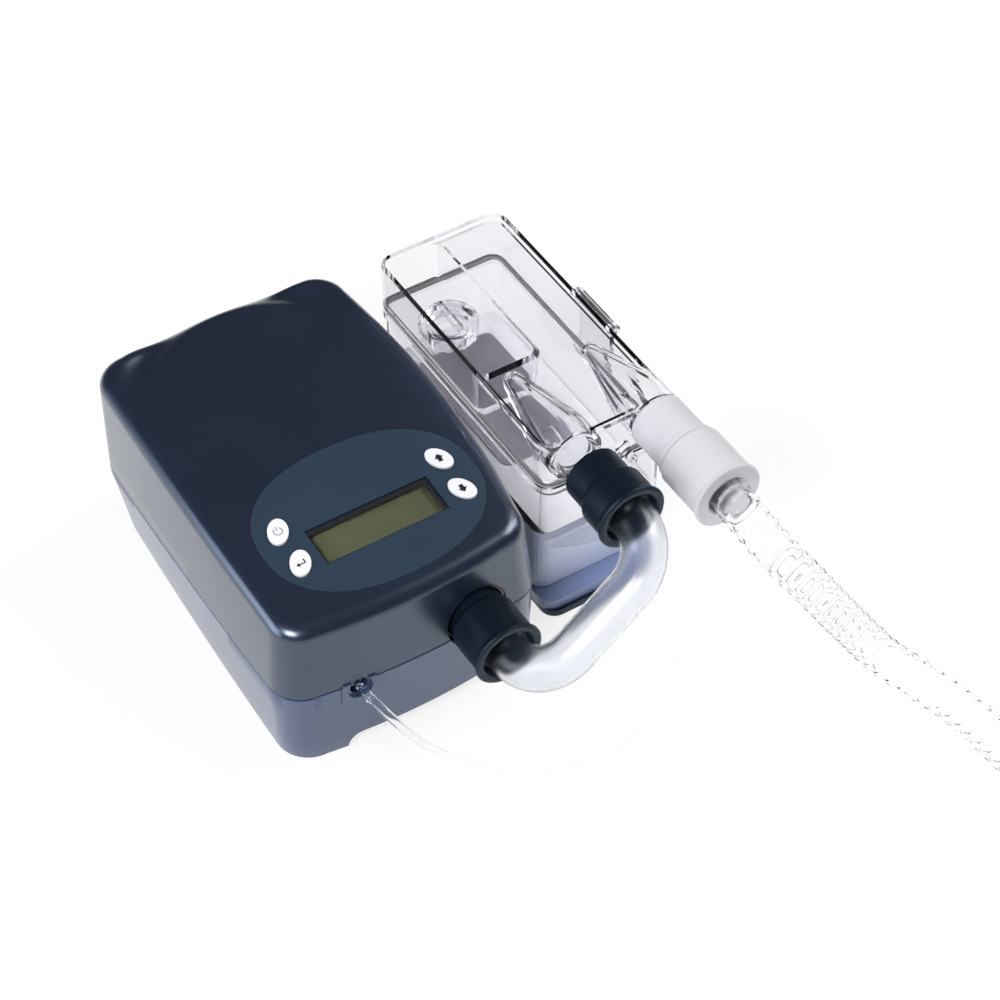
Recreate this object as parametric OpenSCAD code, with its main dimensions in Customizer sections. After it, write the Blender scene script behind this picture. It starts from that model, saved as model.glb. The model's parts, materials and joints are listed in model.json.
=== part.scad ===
/* [Case] */
// Width of the flow generator's case at its parting line
case_w = 142; // [136:1:150]
// Depth of the case, front to rear
case_d = 200; // [192:1:215]
// Height of the top at the front edge
front_h = 86; // [83:1:94]
// Rise of the sloping top for each millimetre towards the rear
top_slope = 0.08; // [0.06:0.01:0.1]
// Height of the parting line at the front
part_h = 45; // [43:1:47]
// Radius of the case's upright corners
corner_r = 18; // [16:1:20]
// Roundness of the top edge
edge_r = 7; // [5:1:8]
// Inward lean of the upper sides, parting line to top edge
draft = 3.5; // [2:0.5:4]
// Outward bow of the long sides at the parting line
side_bow = 1; // [0.5:0.5:2]
// Outward bow of the front and the rear
end_bow = 4; // [2:0.5:5]
// Narrowing of each side towards the rear at the parting line
pinch = 4; // [2:0.5:5]
// Wall thickness of the case shells
wall = 2.6; // [2.2:0.2:3]
// Depth of the two finger scoops at the rear of the top
scoop_depth = 3.5; // [2:0.5:5]
// Radius of the raised tongue between the scoops
tongue_r = 58; // [56:1:61]

/* [Control panel] */
// Width of the oval membrane panel
panel_w = 114; // [108:1:116]
// Length of the oval membrane panel along the slope
panel_l = 84; // [78:1:86]
// Distance of the panel's centre from the front edge
panel_y = 52.5; // [51:0.5:54]
// Width of the display window
lcd_w = 66; // [60:1:68]
// Length of the display window along the slope
lcd_l = 22; // [18:1:24]
// Width of an oval button
button_w = 10; // [9:0.5:11]
// Length of an oval button
button_l = 15; // [13:0.5:16]
// Splay of the buttons' long axes from straight ahead
button_splay = 28; // [20:1:35]
// Travel of a button when it is pressed
button_travel = 0.8; // [0.5:0.1:1]

/* [Humidifier] */
// Width of the humidifier
hum_w = 72; // [70:1:78]
// Length of the humidifier, front to rear
hum_l = 154; // [150:1:162]
// Gap between the case and the humidifier
hum_gap = 7.5; // [6:0.5:9]
// Height of the humidifier's heater base
hum_base_h = 51; // [48:1:53]
// Height of the top of the water tub
tub_top = 89; // [85:1:91]
// Height of the top of the lid
lid_top = 115; // [111:1:117]
// Wall thickness of the clear tub and lid
clear_wall = 2.4; // [2:0.2:3]
// Diameter of the fill cap
cap_d = 29; // [26:1:30]

/* [Air path] */
// Outside diameter of the joining tube
tube_od = 22; // [20:0.5:23]
// Wall thickness of the joining tube
tube_wall = 2; // [1.5:0.25:2.5]
// Height of the air ducts' centre above the table
duct_h = 106; // [104:1:107]
// Height of the case outlet's centre above the table
outlet_h = 51; // [50:1:53]
// Distance of the case outlet from the case's left side
outlet_x = 102; // [100:1:106]
// Bend radius of the joining tube
bend_r = 24; // [22:1:26]
// Outside diameter of the pressure tube
line_od = 4.8; // [4:0.2:5]
// Outside diameter of the breathing hose over its ribs
hose_od = 21; // [20:0.5:22]
// Spacing of the ribs along the breathing hose
rib_pitch = 7; // [6:0.5:8]

/* [Hidden] */

$fn = 48;
eps = 0.01;
fit = 0.15;
run = 0.06;
loose = 0.35;

// Places in the working layout: the case's front left corner is at x 0, y 0
part_fall = 0.04;
panel_x = case_w / 2 + 5.5;
slope_angle = atan(top_slope);
base_floor = 7;
base_inset = 1.5;
base_pinch = 8;
rear_inset = 8;
foot_rise = 8;
hum_x0 = case_w + side_bow + hum_gap;
hum_x1 = hum_x0 + hum_w;
hum_y0 = 17;
hum_y1 = hum_y0 + hum_l;
inlet_x = hum_x0 + 18;
hose_x = hum_x1 - 9;
cuff_mouth = 59;
cuff_front = hum_y0 - cuff_mouth;
case_cuff_l = 38;
case_cuff_back = 8;
mouth_y = case_cuff_back - case_cuff_l;
lead = 0.5 - mouth_y;
flange_r = 18;
bulge = bend_r + tube_od / 2;

module place() { translate([-origin_x, -origin_y, 0]) children(); }

// Smooth step from 0 to 1
function ease(t) = let (c = min(1, max(0, t))) c * c * (3 - 2 * c);

// Rounded rectangle with bowed long sides, anticlockwise, always the same number of points
corner_n = 6;
end_n = 14;
side_n = 8;
function corner(cx, cy, r, a) =
    [for (k = [0 : corner_n]) [cx + r * cos(a + 90 * k / corner_n), cy + r * sin(a + 90 * k / corner_n)]];
function between(p, q, n, push) =
    [for (k = [1 : n - 1]) let (t = k / n)
        [p[0] + (q[0] - p[0]) * t + push[0] * 4 * t * (1 - t),
         p[1] + (q[1] - p[1]) * t + push[1] * 4 * t * (1 - t)]];
function outline(x0, x1, y0, y1, r, bow, end = end_bow) = concat(
    corner(x1 - r, y0 + r, r, -90),
    between([x1, y0 + r], [x1, y1 - r], side_n, [bow, 0]),
    corner(x1 - r, y1 - r, r, 0),
    between([x1 - r, y1], [x0 + r, y1], end_n, [0, end]),
    corner(x0 + r, y1 - r, r, 90),
    between([x0, y1 - r], [x0, y0 + r], side_n, [-bow, 0]),
    corner(x0 + r, y0 + r, r, 180),
    between([x0 + r, y0], [x1 - r, y0], end_n, [0, -end]));
// The plan narrowed in step with the distance from the front, by the given width at the rear
function narrowed(pts, rear) =
    [for (p = pts) let (cx = case_w / 2) [cx + (p[0] - cx) * (1 - rear * p[1] / case_d / cx), p[1]]];
function foot_plan() = narrowed(outline(0, case_w, 0, case_d, corner_r, side_bow), pinch);

// The origin is under the middle of the part, on the table, the loose tubes left out
origin_x = (hose_x + flange_r + min([for (p = foot_plan()) p[0]])) / 2;
origin_y = (case_d + end_bow - lead - bulge) / 2;
echo(origin = [origin_x, origin_y]);

// Height of the top: a sloping plane with a groove round the tongue at the rear, deepest at the
// rear edge on both sides and gone where it comes to the long sides
tongue_x = case_w / 2 + 2;
tongue_y = case_d - 67;
groove_w = 22;
groove_a = 30;
groove_fade = 35;
function scoop(x, y) =
    let (dx = abs(x - tongue_x), dy = y - tongue_y, u = norm([dx, dy]) - tongue_r)
    dy < 0 || u < 0 || u > groove_w ? 0
        : scoop_depth * pow(sin(180 * u / groove_w), 2)
            * (1 - ease((atan2(dx, dy) - groove_a) / groove_fade));
function top_z(x, y) = front_h + top_slope * y - scoop(x, y);
function part_z(y) = part_h - part_fall * y;

// Rings of the upper case from the parting line over the rounded edge to the middle of the top
fillet_n = 4;
top_steps = [0.95, 0.9, 0.85, 0.79, 0.72, 0.6, 0.35];
function upper_ring(inset, drop, bow) =
    [for (p = outline(inset, case_w - inset, inset, case_d - inset, max(2, corner_r - inset / 2), bow))
        [p[0], p[1], top_z(p[0], p[1]) - drop]];
function upper_foot() = [for (p = foot_plan()) [p[0], p[1], part_z(p[1])]];
function upper_rings() =
    let (rim = upper_ring(draft + edge_r, 0, 1), cx = case_w / 2, cy = case_d / 2)
    concat(
        [upper_foot()],
        [for (k = [0 : fillet_n - 1]) let (a = 90 * k / fillet_n)
            upper_ring(draft + edge_r * (1 - cos(a)), edge_r * (1 - sin(a)), 1)],
        [rim],
        [for (s = top_steps)
            [for (p = rim) let (x = cx + (p[0] - cx) * s, y = cy + (p[1] - cy) * s) [x, y, top_z(x, y)]]]);

// Closed skin over rings of equal count, the first and last filled flat
module skin(rings) {
    n = len(rings[0]);
    m = len(rings);
    points = [for (r = rings) each r];
    sides = [for (k = [0 : m - 2], i = [0 : n - 1]) let (j = (i + 1) % n)
        each [[k * n + i, k * n + j, (k + 1) * n + j], [k * n + i, (k + 1) * n + j, (k + 1) * n + i]]];
    low = [for (i = [n - 1 : -1 : 0]) i];
    high = [for (i = [0 : n - 1]) (m - 1) * n + i];
    polyhedron(points, [for (f = concat([low], sides, [high])) [for (i = [len(f) - 1 : -1 : 0]) f[i]]]);
}

// Puts children in the plane of the sloping top, z 0 on its surface
module on_top() {
    translate([0, 0, front_h]) rotate([slope_angle, 0, 0]) children();
}

function oval(w, l, power = 2) =
    [for (a = [0 : 5 : 355])
        [w / 2 * sign(cos(a)) * pow(abs(cos(a)), 2 / power),
         l / 2 * sign(sin(a)) * pow(abs(sin(a)), 2 / power)]];
module oval_plate(w, l, h, power = 2) { linear_extrude(height = h) polygon(oval(w, l, power)); }

module rounded_box(x0, y0, z0, x1, y1, z1, r) {
    translate([x0, y0, z0]) linear_extrude(height = z1 - z0) rounded_rect(x1 - x0, y1 - y0, r);
}
module rounded_rect(w, l, r) {
    polygon([for (c = [[w - r, r, -90], [w - r, l - r, 0], [r, l - r, 90], [r, r, 180]],
                  k = [0 : 6]) [c[0] + r * cos(c[2] + 15 * k), c[1] + r * sin(c[2] + 15 * k)]]);
}
module box(x0, y0, z0, x1, y1, z1) { translate([x0, y0, z0]) cube([x1 - x0, y1 - y0, z1 - z0]); }

// A revolved form that points along minus Y from the given place
module forward(x, y, z) { translate([x, y, z]) rotate([90, 0, 0]) children(); }

// Screw posts and screws
post_x = [15, case_w - 15];
post_y = [19, case_d - 30];
post_top = 35;
screw_r = 1.5;
module at_posts() { for (x = post_x, y = post_y) translate([x, y, 0]) children(); }

// Button places on the slope: sideways distance, distance from the front, splay direction
button_off = 43.7;
button_rear = 61.5;
button_front = 40.5;
panel_t = 0.8;
button_proud = 1;
button_deep = 9;
module at_button(side, y) {
    on_top() translate([panel_x + side * button_off, y, 0]) rotate([0, 0, side * button_splay]) children();
}
module each_button() {
    for (side = [-1, 1], y = [button_front, button_rear]) at_button(side, y) children();
}
lcd_y = 45;
panel_power = 2.3;
module panel_plate(grow, h) {
    on_top() translate([panel_x, panel_y, -panel_t])
        oval_plate(panel_w + 2 * grow, panel_l + 2 * grow, h, panel_power);
}
module panel_holes() {
    on_top() translate([panel_x - lcd_w / 2, lcd_y - lcd_l / 2, -12]) cube([lcd_w, lcd_l, 20]);
    each_button() translate([0, 0, -12]) oval_plate(button_w + 2 * loose, button_l + 2 * loose, 20);
}

// Rear openings
filter_z0 = 47;
filter_z1 = 77;
inlet_x1 = case_w - 28;
inlet_x0 = inlet_x1 - 28;
filter_x0 = 20;
filter_x1 = inlet_x0 - 18;
inlet_z0 = 12;
inlet_z1 = 28;
port_x = 37.5;
port_z = part_h - 3.5;
port_r = 6;
ring_r = 17;

// Hollow of the upper case: upright walls under a roof that follows the slope
cavity_in = draft + wall;
cavity_r = corner_r - 4;
module cavity(y0, y1, drop) {
    intersection() {
        rounded_box(cavity_in, y0, 0, case_w - cavity_in, y1, 120, cavity_r);
        on_top() translate([-20, -20, -150 - wall - drop]) cube([case_w + 40, case_d + 60, 150]);
    }
}
module upper_case() color([0.17, 0.2, 0.27]) place() {
    difference() {
        union() {
            difference() {
                skin(upper_rings());
                cavity(cavity_in, case_d - 36, 0);
                cavity(case_d - 66, case_d - cavity_in, scoop_depth + 2);
            }
            for (x = post_x, y = post_y) translate([x, y, post_top + fit])
                cylinder(r = 4.5, h = top_z(x, y) - wall / 2 - post_top - fit);
            at_pillars() cylinder(r = 2.4, h = -board_z - board_t - wall / 2);
        }
        at_posts() cylinder(r = screw_r + run, h = post_top + 16);
        panel_plate(fit, 5);
        panel_holes();
        forward(outlet_x, 20, outlet_h) cylinder(r = ring_r + fit, h = 40);
        forward(port_x, 20, port_z) cylinder(r = port_r + fit, h = 40);
        box(filter_x0 - loose, case_d - 20, filter_z0 - loose,
            filter_x1 + loose, case_d + 20, filter_z1 + loose);
    }
}

module base_shape(t) {
    skin([
        [for (p = narrowed(outline(base_inset + t, case_w - base_inset - t, t,
                                   case_d - rear_inset - t, corner_r - t, side_bow), base_pinch))
            [p[0], p[1], t > 0 ? base_floor : 0]],
        [for (p = narrowed(outline(t, case_w - t, t, case_d - t, corner_r - t, side_bow), pinch))
            [p[0], p[1], part_z(p[1]) - (t > 0 ? -1 : 0.4)]]
    ]);
}

// Arches under the front and rear walls, between the corners that the case stands on
arch_in = 38;
arch_l = 10 + base_inset + wall - 0.3;
module lower_case() color([0.2, 0.23, 0.31]) place() {
    difference() {
        union() {
            difference() {
                base_shape(0);
                base_shape(wall);
            }
            at_posts() translate([0, 0, base_floor - eps]) cylinder(r = 5, h = post_top - base_floor);
            for (x = standoff_x, y = standoff_y)
                translate([x, y, base_floor - eps]) cylinder(r = 3, h = 5);
        }
        at_posts() translate([0, 0, -eps]) cylinder(r = screw_r + 0.3, h = 60);
        at_posts() translate([0, 0, -eps]) cylinder(r = 3.6, h = base_floor + 3);
        rounded_box(10, 10, -eps, case_w - 10, case_d - rear_inset - 10, 4, 10);
        for (y = [-10, case_d - rear_inset - wall + 0.3]) {
            box(arch_in, y, -eps, case_w - arch_in, y + arch_l, foot_rise);
            for (x = [arch_in, case_w - arch_in])
                translate([x, y, 0]) rotate([-90, 0, 0]) cylinder(r = foot_rise, h = arch_l);
        }
        for (k = [0 : 8]) box(54 + 8 * k, 60, -eps, 58 + 8 * k, 100, 20);
        forward(outlet_x, 20, outlet_h) cylinder(r = ring_r + fit, h = 40);
        forward(port_x, 20, port_z) cylinder(r = port_r + fit, h = 40);
        box(inlet_x0 - fit, case_d - 24, inlet_z0 - fit, inlet_x1 + fit, case_d + 20, inlet_z1 + fit);
    }
}

module control_panel() color([0.21, 0.28, 0.36]) place() {
    difference() {
        panel_plate(0, panel_t + 0.1);
        panel_holes();
    }
}

// A plate under the display's opening, wider than it all round
window_t = 1.2;
module under_display(edge, z, t) {
    on_top() translate([panel_x - lcd_w / 2 - edge, lcd_y - lcd_l / 2 - edge, z])
        cube([lcd_w + 2 * edge, lcd_l + 2 * edge, t]);
}
module display_window() color([0.6, 0.65, 0.6, 0.3]) place()
    under_display(3, -wall - window_t, window_t - fit);
module display_module() color([0.42, 0.44, 0.33]) place()
    under_display(2, -wall - 4.4, 3.1);

board_z = -wall - 9.4;
board_t = 1.6;
board_w = panel_w - 10;
board_l = 46;
board_y = panel_y - 1.5;
pillar_in = 3;
module at_pillars() {
    on_top() for (x = [-1, 1], y = [-1, 1])
        translate([panel_x + x * (board_w / 2 - pillar_in), board_y + y * (board_l / 2 - pillar_in),
                   board_z + board_t]) children();
}
module button_board() color([0.1, 0.35, 0.2]) place() {
    on_top() {
        translate([panel_x - board_w / 2, board_y - board_l / 2, board_z]) cube([board_w, board_l, board_t]);
        translate([panel_x - 8, lcd_y - 4, board_z + board_t - eps]) cube([16, 8, 3.4]);
    }
    each_button() translate([-3, -3, board_z + board_t - eps]) cube([6, 6, switch_h]);
}

switch_h = 2.5;
button_under = -panel_t - wall + 0.4;
stem_end = board_z + board_t + switch_h + button_travel + 0.1;
module button_form(side, y) {
    at_button(side, y) {
        translate([0, 0, button_under]) oval_plate(button_w, button_l, button_proud - button_under);
        translate([0, 0, stem_end]) cylinder(r = 2, h = button_under + 0.1 - stem_end);
    }
}
module power_button() color([0.93, 0.94, 0.95]) place() button_form(-1, button_rear);
module enter_button() color([0.93, 0.94, 0.95]) place() button_form(-1, button_front);
module up_button() color([0.93, 0.94, 0.95]) place() button_form(1, button_rear);
module down_button() color([0.93, 0.94, 0.95]) place() button_form(1, button_front);

// Air outlet: a black ring in the front face with the spigot that the cuff pushes over
spigot_r = tube_od / 2;
module outlet_port() color([0.05, 0.05, 0.06]) place() {
    difference() {
        union() {
            forward(outlet_x, 12, outlet_h) cylinder(r = ring_r, h = 11);
            forward(outlet_x, 12, outlet_h) cylinder(r = spigot_r, h = 26);
        }
        forward(outlet_x, 10, outlet_h) difference() {
            cylinder(r = ring_r - 1.6, h = 20);
            translate([0, 0, -1]) cylinder(r = spigot_r, h = 30);
        }
        forward(outlet_x, 30, outlet_h) cylinder(r = spigot_r - 2, h = 60);
    }
}

// Stepped rubber cuff along plus Z from 0: collar, ridge at the given length, fat segment and thin lip
ridge = 1.2;
edge = 0.8;
collar_r = 14.5;
body_r = 16.6;
module cuff(collar_l, full_l, collar_r, body_r) {
    rotate_extrude() polygon([
        [spigot_r + fit, 0], [collar_r - 1, 0], [collar_r, 1], [collar_r, collar_l - 4],
        [collar_r + ridge, collar_l - 3], [collar_r + ridge, collar_l - 1],
        [body_r - edge, collar_l], [body_r, collar_l + 1], [body_r, full_l - 3],
        [flange_r - edge, full_l - 2], [flange_r, full_l - 1.4], [flange_r, full_l - 0.4],
        [flange_r - edge, full_l], [spigot_r + fit, full_l]]);
}
module outlet_cuff() color([0.06, 0.06, 0.07]) place()
    forward(outlet_x, case_cuff_back, outlet_h) cuff(14, case_cuff_l, ring_r - 2.4, body_r);
inlet_cuff_y = hum_y0 - 12.5;
module inlet_cuff() color([0.06, 0.06, 0.07]) place()
    forward(inlet_x, inlet_cuff_y, duct_h) cuff(16.5, inlet_cuff_y - mouth_y, collar_r, body_r);
module hose_cuff() color([0.93, 0.94, 0.95]) place()
    forward(hose_x, hum_y0 - fit, duct_h) cuff(28, cuff_mouth - fit, collar_r, 17);

// Pressure port: a rimmed dish in the front face with a barbed nipple
module pressure_port() color([0.12, 0.14, 0.2]) place() {
    difference() {
        union() {
            forward(port_x, 6, port_z) cylinder(r = port_r, h = 7.4);
            forward(port_x, 6, port_z) cylinder(r = line_od / 2 - 0.9, h = 8);
        }
        forward(port_x, 4, port_z) difference() {
            cylinder(r = port_r - 1.2, h = 10);
            translate([0, 0, -1]) cylinder(r = line_od / 2 + 0.6, h = 4);
            translate([0, 0, -1]) cylinder(r = line_od / 2 - 0.9, h = 20);
        }
        forward(port_x, 20, port_z) cylinder(r = 0.8, h = 40);
    }
}

// Blower: scroll housing, its outlet duct, impeller, shaft and motor
blower_off = 18;
blower_back = 88;
blower_x = outlet_x - blower_off;
blower_y = case_d - blower_back;
blower_z0 = 33;
blower_h = 34;
scroll_r = 33;
scroll_grow = 0.024;
impeller_r = 27;
shaft_r = 2.5;
duct_w = 22;
duct_wall = 2.5;
throat = 48;
function scroll(extra) =
    [for (a = [0 : 10 : 350]) let (r = scroll_r + extra + scroll_grow * a)
        [blower_x + r * cos(a), blower_y + r * sin(a)]];
module blower_housing() color([0.75, 0.76, 0.78]) place() {
    difference() {
        translate([0, 0, blower_z0]) linear_extrude(height = blower_h) union() {
            polygon(scroll(0));
            translate([outlet_x - duct_w / 2, blower_y - throat]) square([duct_w, throat]);
        }
        translate([0, 0, blower_z0 + duct_wall]) linear_extrude(height = blower_h - 2 * duct_wall) union() {
            polygon(scroll(-duct_wall));
            translate([outlet_x - duct_w / 2 + duct_wall, blower_y - throat - 2])
                square([duct_w - 2 * duct_wall, throat]);
        }
        translate([blower_x, blower_y, blower_z0 - 1]) cylinder(r = 14, h = 5);
        translate([blower_x, blower_y, blower_z0 + blower_h - 4]) cylinder(r = 6, h = 5);
    }
}
module outlet_duct() color([0.1, 0.1, 0.11]) place() {
    y1 = blower_y - throat - fit;
    difference() {
        union() {
            box(outlet_x - duct_w / 2, y1 - 12, blower_z0, outlet_x + duct_w / 2, y1, blower_z0 + blower_h);
            forward(outlet_x, y1 - 11, outlet_h) cylinder(r = spigot_r - 0.5, h = y1 - 11 - 12 - fit);
        }
        box(outlet_x - duct_w / 2 + duct_wall, y1 - 9, blower_z0 + duct_wall,
            outlet_x + duct_w / 2 - duct_wall, y1 + 1, blower_z0 + blower_h - duct_wall);
        forward(outlet_x, y1, outlet_h) cylinder(r = spigot_r - duct_wall, h = 100);
    }
}
blade_n = 9;
blade_h = 18;
hub_r = 8;
blade_grow = (impeller_r - hub_r - 1.5) / 50;
module impeller() color([0.85, 0.86, 0.88]) place() {
    translate([blower_x, blower_y, blower_z0 + 5]) difference() {
        union() {
            translate([0, 0, blade_h]) cylinder(r = impeller_r, h = 2);
            translate([0, 0, 6]) cylinder(r1 = 2 * shaft_r, r2 = hub_r, h = blade_h - 6 + eps);
            for (k = [0 : blade_n - 1]) rotate([0, 0, 360 / blade_n * k]) blade();
        }
        translate([0, 0, -1]) cylinder(r = shaft_r + 0.02, h = 40);
    }
}
module blade() {
    linear_extrude(height = blade_h + eps) polygon(concat(
        [for (a = [0 : 10 : 50]) (hub_r + 1 + a * blade_grow) * [cos(a), sin(a)]],
        [for (a = [50 : -10 : 0]) (hub_r + 1 + a * blade_grow) * [cos(a + 5), sin(a + 5)]]));
}
motor_h = 16;
module motor_shaft() color([0.8, 0.8, 0.82]) place()
    translate([blower_x, blower_y, blower_z0 + 8]) cylinder(r = shaft_r, h = blower_h + motor_h - 10);
module blower_motor() color([0.55, 0.56, 0.58]) place() {
    translate([blower_x, blower_y, blower_z0 + blower_h]) difference() {
        union() {
            cylinder(r = 18, h = motor_h);
            for (a = [0 : 60 : 300]) rotate([0, 0, a]) translate([17, -1.5, 0]) cube([4, 3, motor_h - 4]);
        }
        translate([0, 0, -1]) cylinder(r = shaft_r + run, h = motor_h + 2);
    }
}
module blower_mounts() color([0.15, 0.15, 0.16]) place() {
    for (a = [30, 150, 270])
        translate([blower_x + impeller_r * cos(a), blower_y + impeller_r * sin(a), base_floor])
        rotate_extrude() polygon([[0, 0], [5, 0], [5, 5], [3.2, 8], [3.2, 12], [5, 16],
            [5, blower_z0 - base_floor], [0, blower_z0 - base_floor]]);
}

// Main board on four standoffs, with its capacitors, finned heat sink and connectors
main_x0 = 8;
main_x1 = 45;
main_y0 = 32;
main_y1 = case_d - 50;
sink_x = main_x1 - 13;
sink_y = main_y0 + 24;
standoff_x = [main_x0 + 6, main_x1 - 5];
standoff_y = [main_y0 + 18, main_y1 - 10];
module main_board() color([0.1, 0.35, 0.2]) place() {
    z = base_floor + 5;
    top = z + board_t - eps;
    box(main_x0, main_y0, z, main_x1, main_y1, z + board_t);
    for (k = [0 : 2]) translate([main_x0 + 12, main_y0 + 28 + 18 * k, top]) cylinder(r = 6, h = 18);
    box(sink_x, sink_y, top, sink_x + 4, sink_y + 48, z + 22);
    for (k = [0 : 6]) box(sink_x + 3.9, sink_y + 1 + 7 * k, top, main_x1 - 2, sink_y + 3 + 7 * k, z + 22);
    box(main_x1 - 15, main_y0 + 2, top, main_x1 - 1, main_y0 + 16, z + 10);
    box(main_x0 + 4, main_y1 - 32, top, main_x1 - 5, main_y1 - 8, z + 8);
}

// Inlet muffler with the filter's seat, behind the rear cover
muffler_y0 = case_d - 44;
module inlet_muffler() color([0.12, 0.12, 0.13]) place() {
    difference() {
        box(filter_x0 - 6, muffler_y0, base_floor, filter_x1 + 6, case_d - 16, filter_z1 + 2);
        box(filter_x0, muffler_y0 + 3, filter_z0, filter_x1, case_d, filter_z1);
        box(filter_x1 - 2, muffler_y0 + 6, filter_z0 + 4, filter_x1 + 10, case_d - 24, filter_z1 - 6);
        at_posts() translate([0, 0, -1]) cylinder(r = 6, h = 100);
    }
}
module air_filter() color([0.85, 0.86, 0.86]) place()
    box(filter_x0 + fit, case_d - 19, filter_z0 + fit, filter_x1 - fit, case_d - 9.5, filter_z1 - fit);
module filter_cover() color([0.2, 0.23, 0.31]) place() {
    y0 = case_d - 9;
    difference() {
        box(filter_x0, y0, filter_z0, filter_x1, case_d - 3, filter_z1);
        for (k = [0 : 4])
            box(filter_x0 + 5, y0 - 1, filter_z0 + 4 + 5 * k, filter_x1 - 5, case_d, filter_z0 + 6.4 + 5 * k);
    }
}
module at_inlet() {
    translate([(inlet_x0 + inlet_x1) / 2, case_d - 20, (inlet_z0 + inlet_z1) / 2])
        rotate([-90, 0, 0]) children();
}
module power_inlet() color([0.05, 0.05, 0.06]) place() {
    difference() {
        box(inlet_x0, case_d - 28, inlet_z0, inlet_x1, case_d - 6, inlet_z1);
        at_inlet() cylinder(r = 5, h = 20);
    }
    at_inlet() translate([0, 0, -eps]) cylinder(r = 1, h = 11);
}
pad_in = 26;
pad_r = 7;
module case_feet() color([0.06, 0.06, 0.07]) place() {
    for (x = [pad_in, case_w - pad_in], y = [pad_in, case_d - pad_in - 14])
        translate([x, y, 0]) cylinder(r1 = pad_r - 0.5, r2 = pad_r, h = 4);
}
module case_screws() color([0.6, 0.6, 0.62]) place() at_posts() difference() {
    union() {
        translate([0, 0, base_floor]) cylinder(r = 3, h = 3);
        translate([0, 0, base_floor]) cylinder(r = screw_r, h = post_top + 8 - base_floor);
    }
    translate([0, 0, base_floor - eps]) cylinder(r = 1.4, h = 1.8, $fn = 6);
}

// Humidifier: heater base, clear tub and clear lid
plinth_h = 10;
foot_t = 4;
plate_in = 12;
flange_out = 2;
seal_t = 1.4;
module hum_box(inset, z0, z1, r) {
    rounded_box(hum_x0 + inset, hum_y0 + inset, z0, hum_x1 - inset, hum_y1 - inset, z1, r);
}
module humidifier_foot() color([0.05, 0.05, 0.06]) place()
    rounded_box(hum_x0 + 2, hum_y0 - 4, 0, hum_x1 - 2, hum_y1 - 4, foot_t, 8);
module humidifier_base() color([0.33, 0.4, 0.55]) place() {
    difference() {
        union() {
            rounded_box(hum_x0 + 1, hum_y0 - 2, foot_t, hum_x1 - 1, hum_y1 - 2, plinth_h, 8);
            rounded_box(hum_x0 + 2, hum_y0 + 8, plinth_h - eps, hum_x1 - 2, hum_y1 - 2, hum_base_h, 8);
        }
        hum_box(plate_in, hum_base_h - 5, hum_base_h + 1, 6);
    }
}
module heater_plate() color([0.75, 0.76, 0.78]) place()
    hum_box(plate_in + fit, hum_base_h - 5, hum_base_h, 6);
module tub_plate() color([0.8, 0.81, 0.83]) place()
    hum_box(plate_in + fit, hum_base_h, hum_base_h + 2, 6);
module water_tub() color([0.85, 0.88, 0.92, 0.4]) place() {
    difference() {
        union() {
            hum_box(flange_out, hum_base_h, tub_top, 6);
            hum_box(0, tub_top - 4, tub_top, 9);
        }
        hum_box(flange_out + clear_wall, hum_base_h + 3, tub_top + 1, 6 - clear_wall);
        hum_box(plate_in, hum_base_h - 1, hum_base_h + 4, 6);
    }
}
module lid_seal() color([0.9, 0.9, 0.9]) place() difference() {
    hum_box(1, tub_top, tub_top + seal_t, 8);
    hum_box(flange_out + clear_wall, tub_top - 1, tub_top + 3, 6 - clear_wall);
}

// The lid: a clear box open below, a sunken well at its left rear, and two ducts that swell
// from its top
lid_low = tub_top + seal_t;
rim_h = 2.5;
well_x1 = hum_x0 + 35;
well_y0 = hum_y0 + 60;
well_z = lid_top - 22;
cap_x = hum_x0 + 18;
cap_y = hum_y0 + 113;
cap_h = 9;
neck_h = 5;
neck_r = cap_d / 2 - 4;
duct_r = 14;
latch_y0 = hum_y0 + 57;
latch_l = 26;
pin_r = 1.5;
latch_x = hum_x1 + 3.4;
latch_z = lid_top - 2;
module latch_rod(r, past) {
    forward(latch_x, latch_y0 + latch_l + past, latch_z) cylinder(r = r, h = latch_l + 2 * past);
}
module duct(x, tip_x, tip_y, grow) {
    hull() {
        forward(x, hum_y0 + 3 - grow, duct_h) cylinder(r = duct_r + grow, h = 3, $fn = 24);
        translate([x, hum_y0 + 14, duct_h]) sphere(r = duct_r + grow, $fn = 24);
        translate([tip_x, tip_y, lid_top - 4]) sphere(r = 5 + grow, $fn = 16);
    }
}
tip_back = [52, 48];
spigot_l = 28;
tips = [[inlet_x, inlet_x - 2, hum_y0 + tip_back[0]], [hose_x, hose_x - 5, hum_y0 + tip_back[1]]];
module lid_ducts() color([0.85, 0.88, 0.92, 0.4]) place() {
    for (t = tips) difference() {
        union() {
            duct(t[0], t[1], t[2], 0);
            forward(t[0], hum_y0 + 2, duct_h) cylinder(r = spigot_r, h = spigot_l);
        }
        duct(t[0], t[1], t[2], -clear_wall);
        forward(t[0], hum_y0 + 8, duct_h) cylinder(r = spigot_r - 2, h = 60);
        box(t[0] - 7, hum_y0 + 16, 0, t[0] + 5, hum_y0 + 28, duct_h - 8);
    }
}
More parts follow.
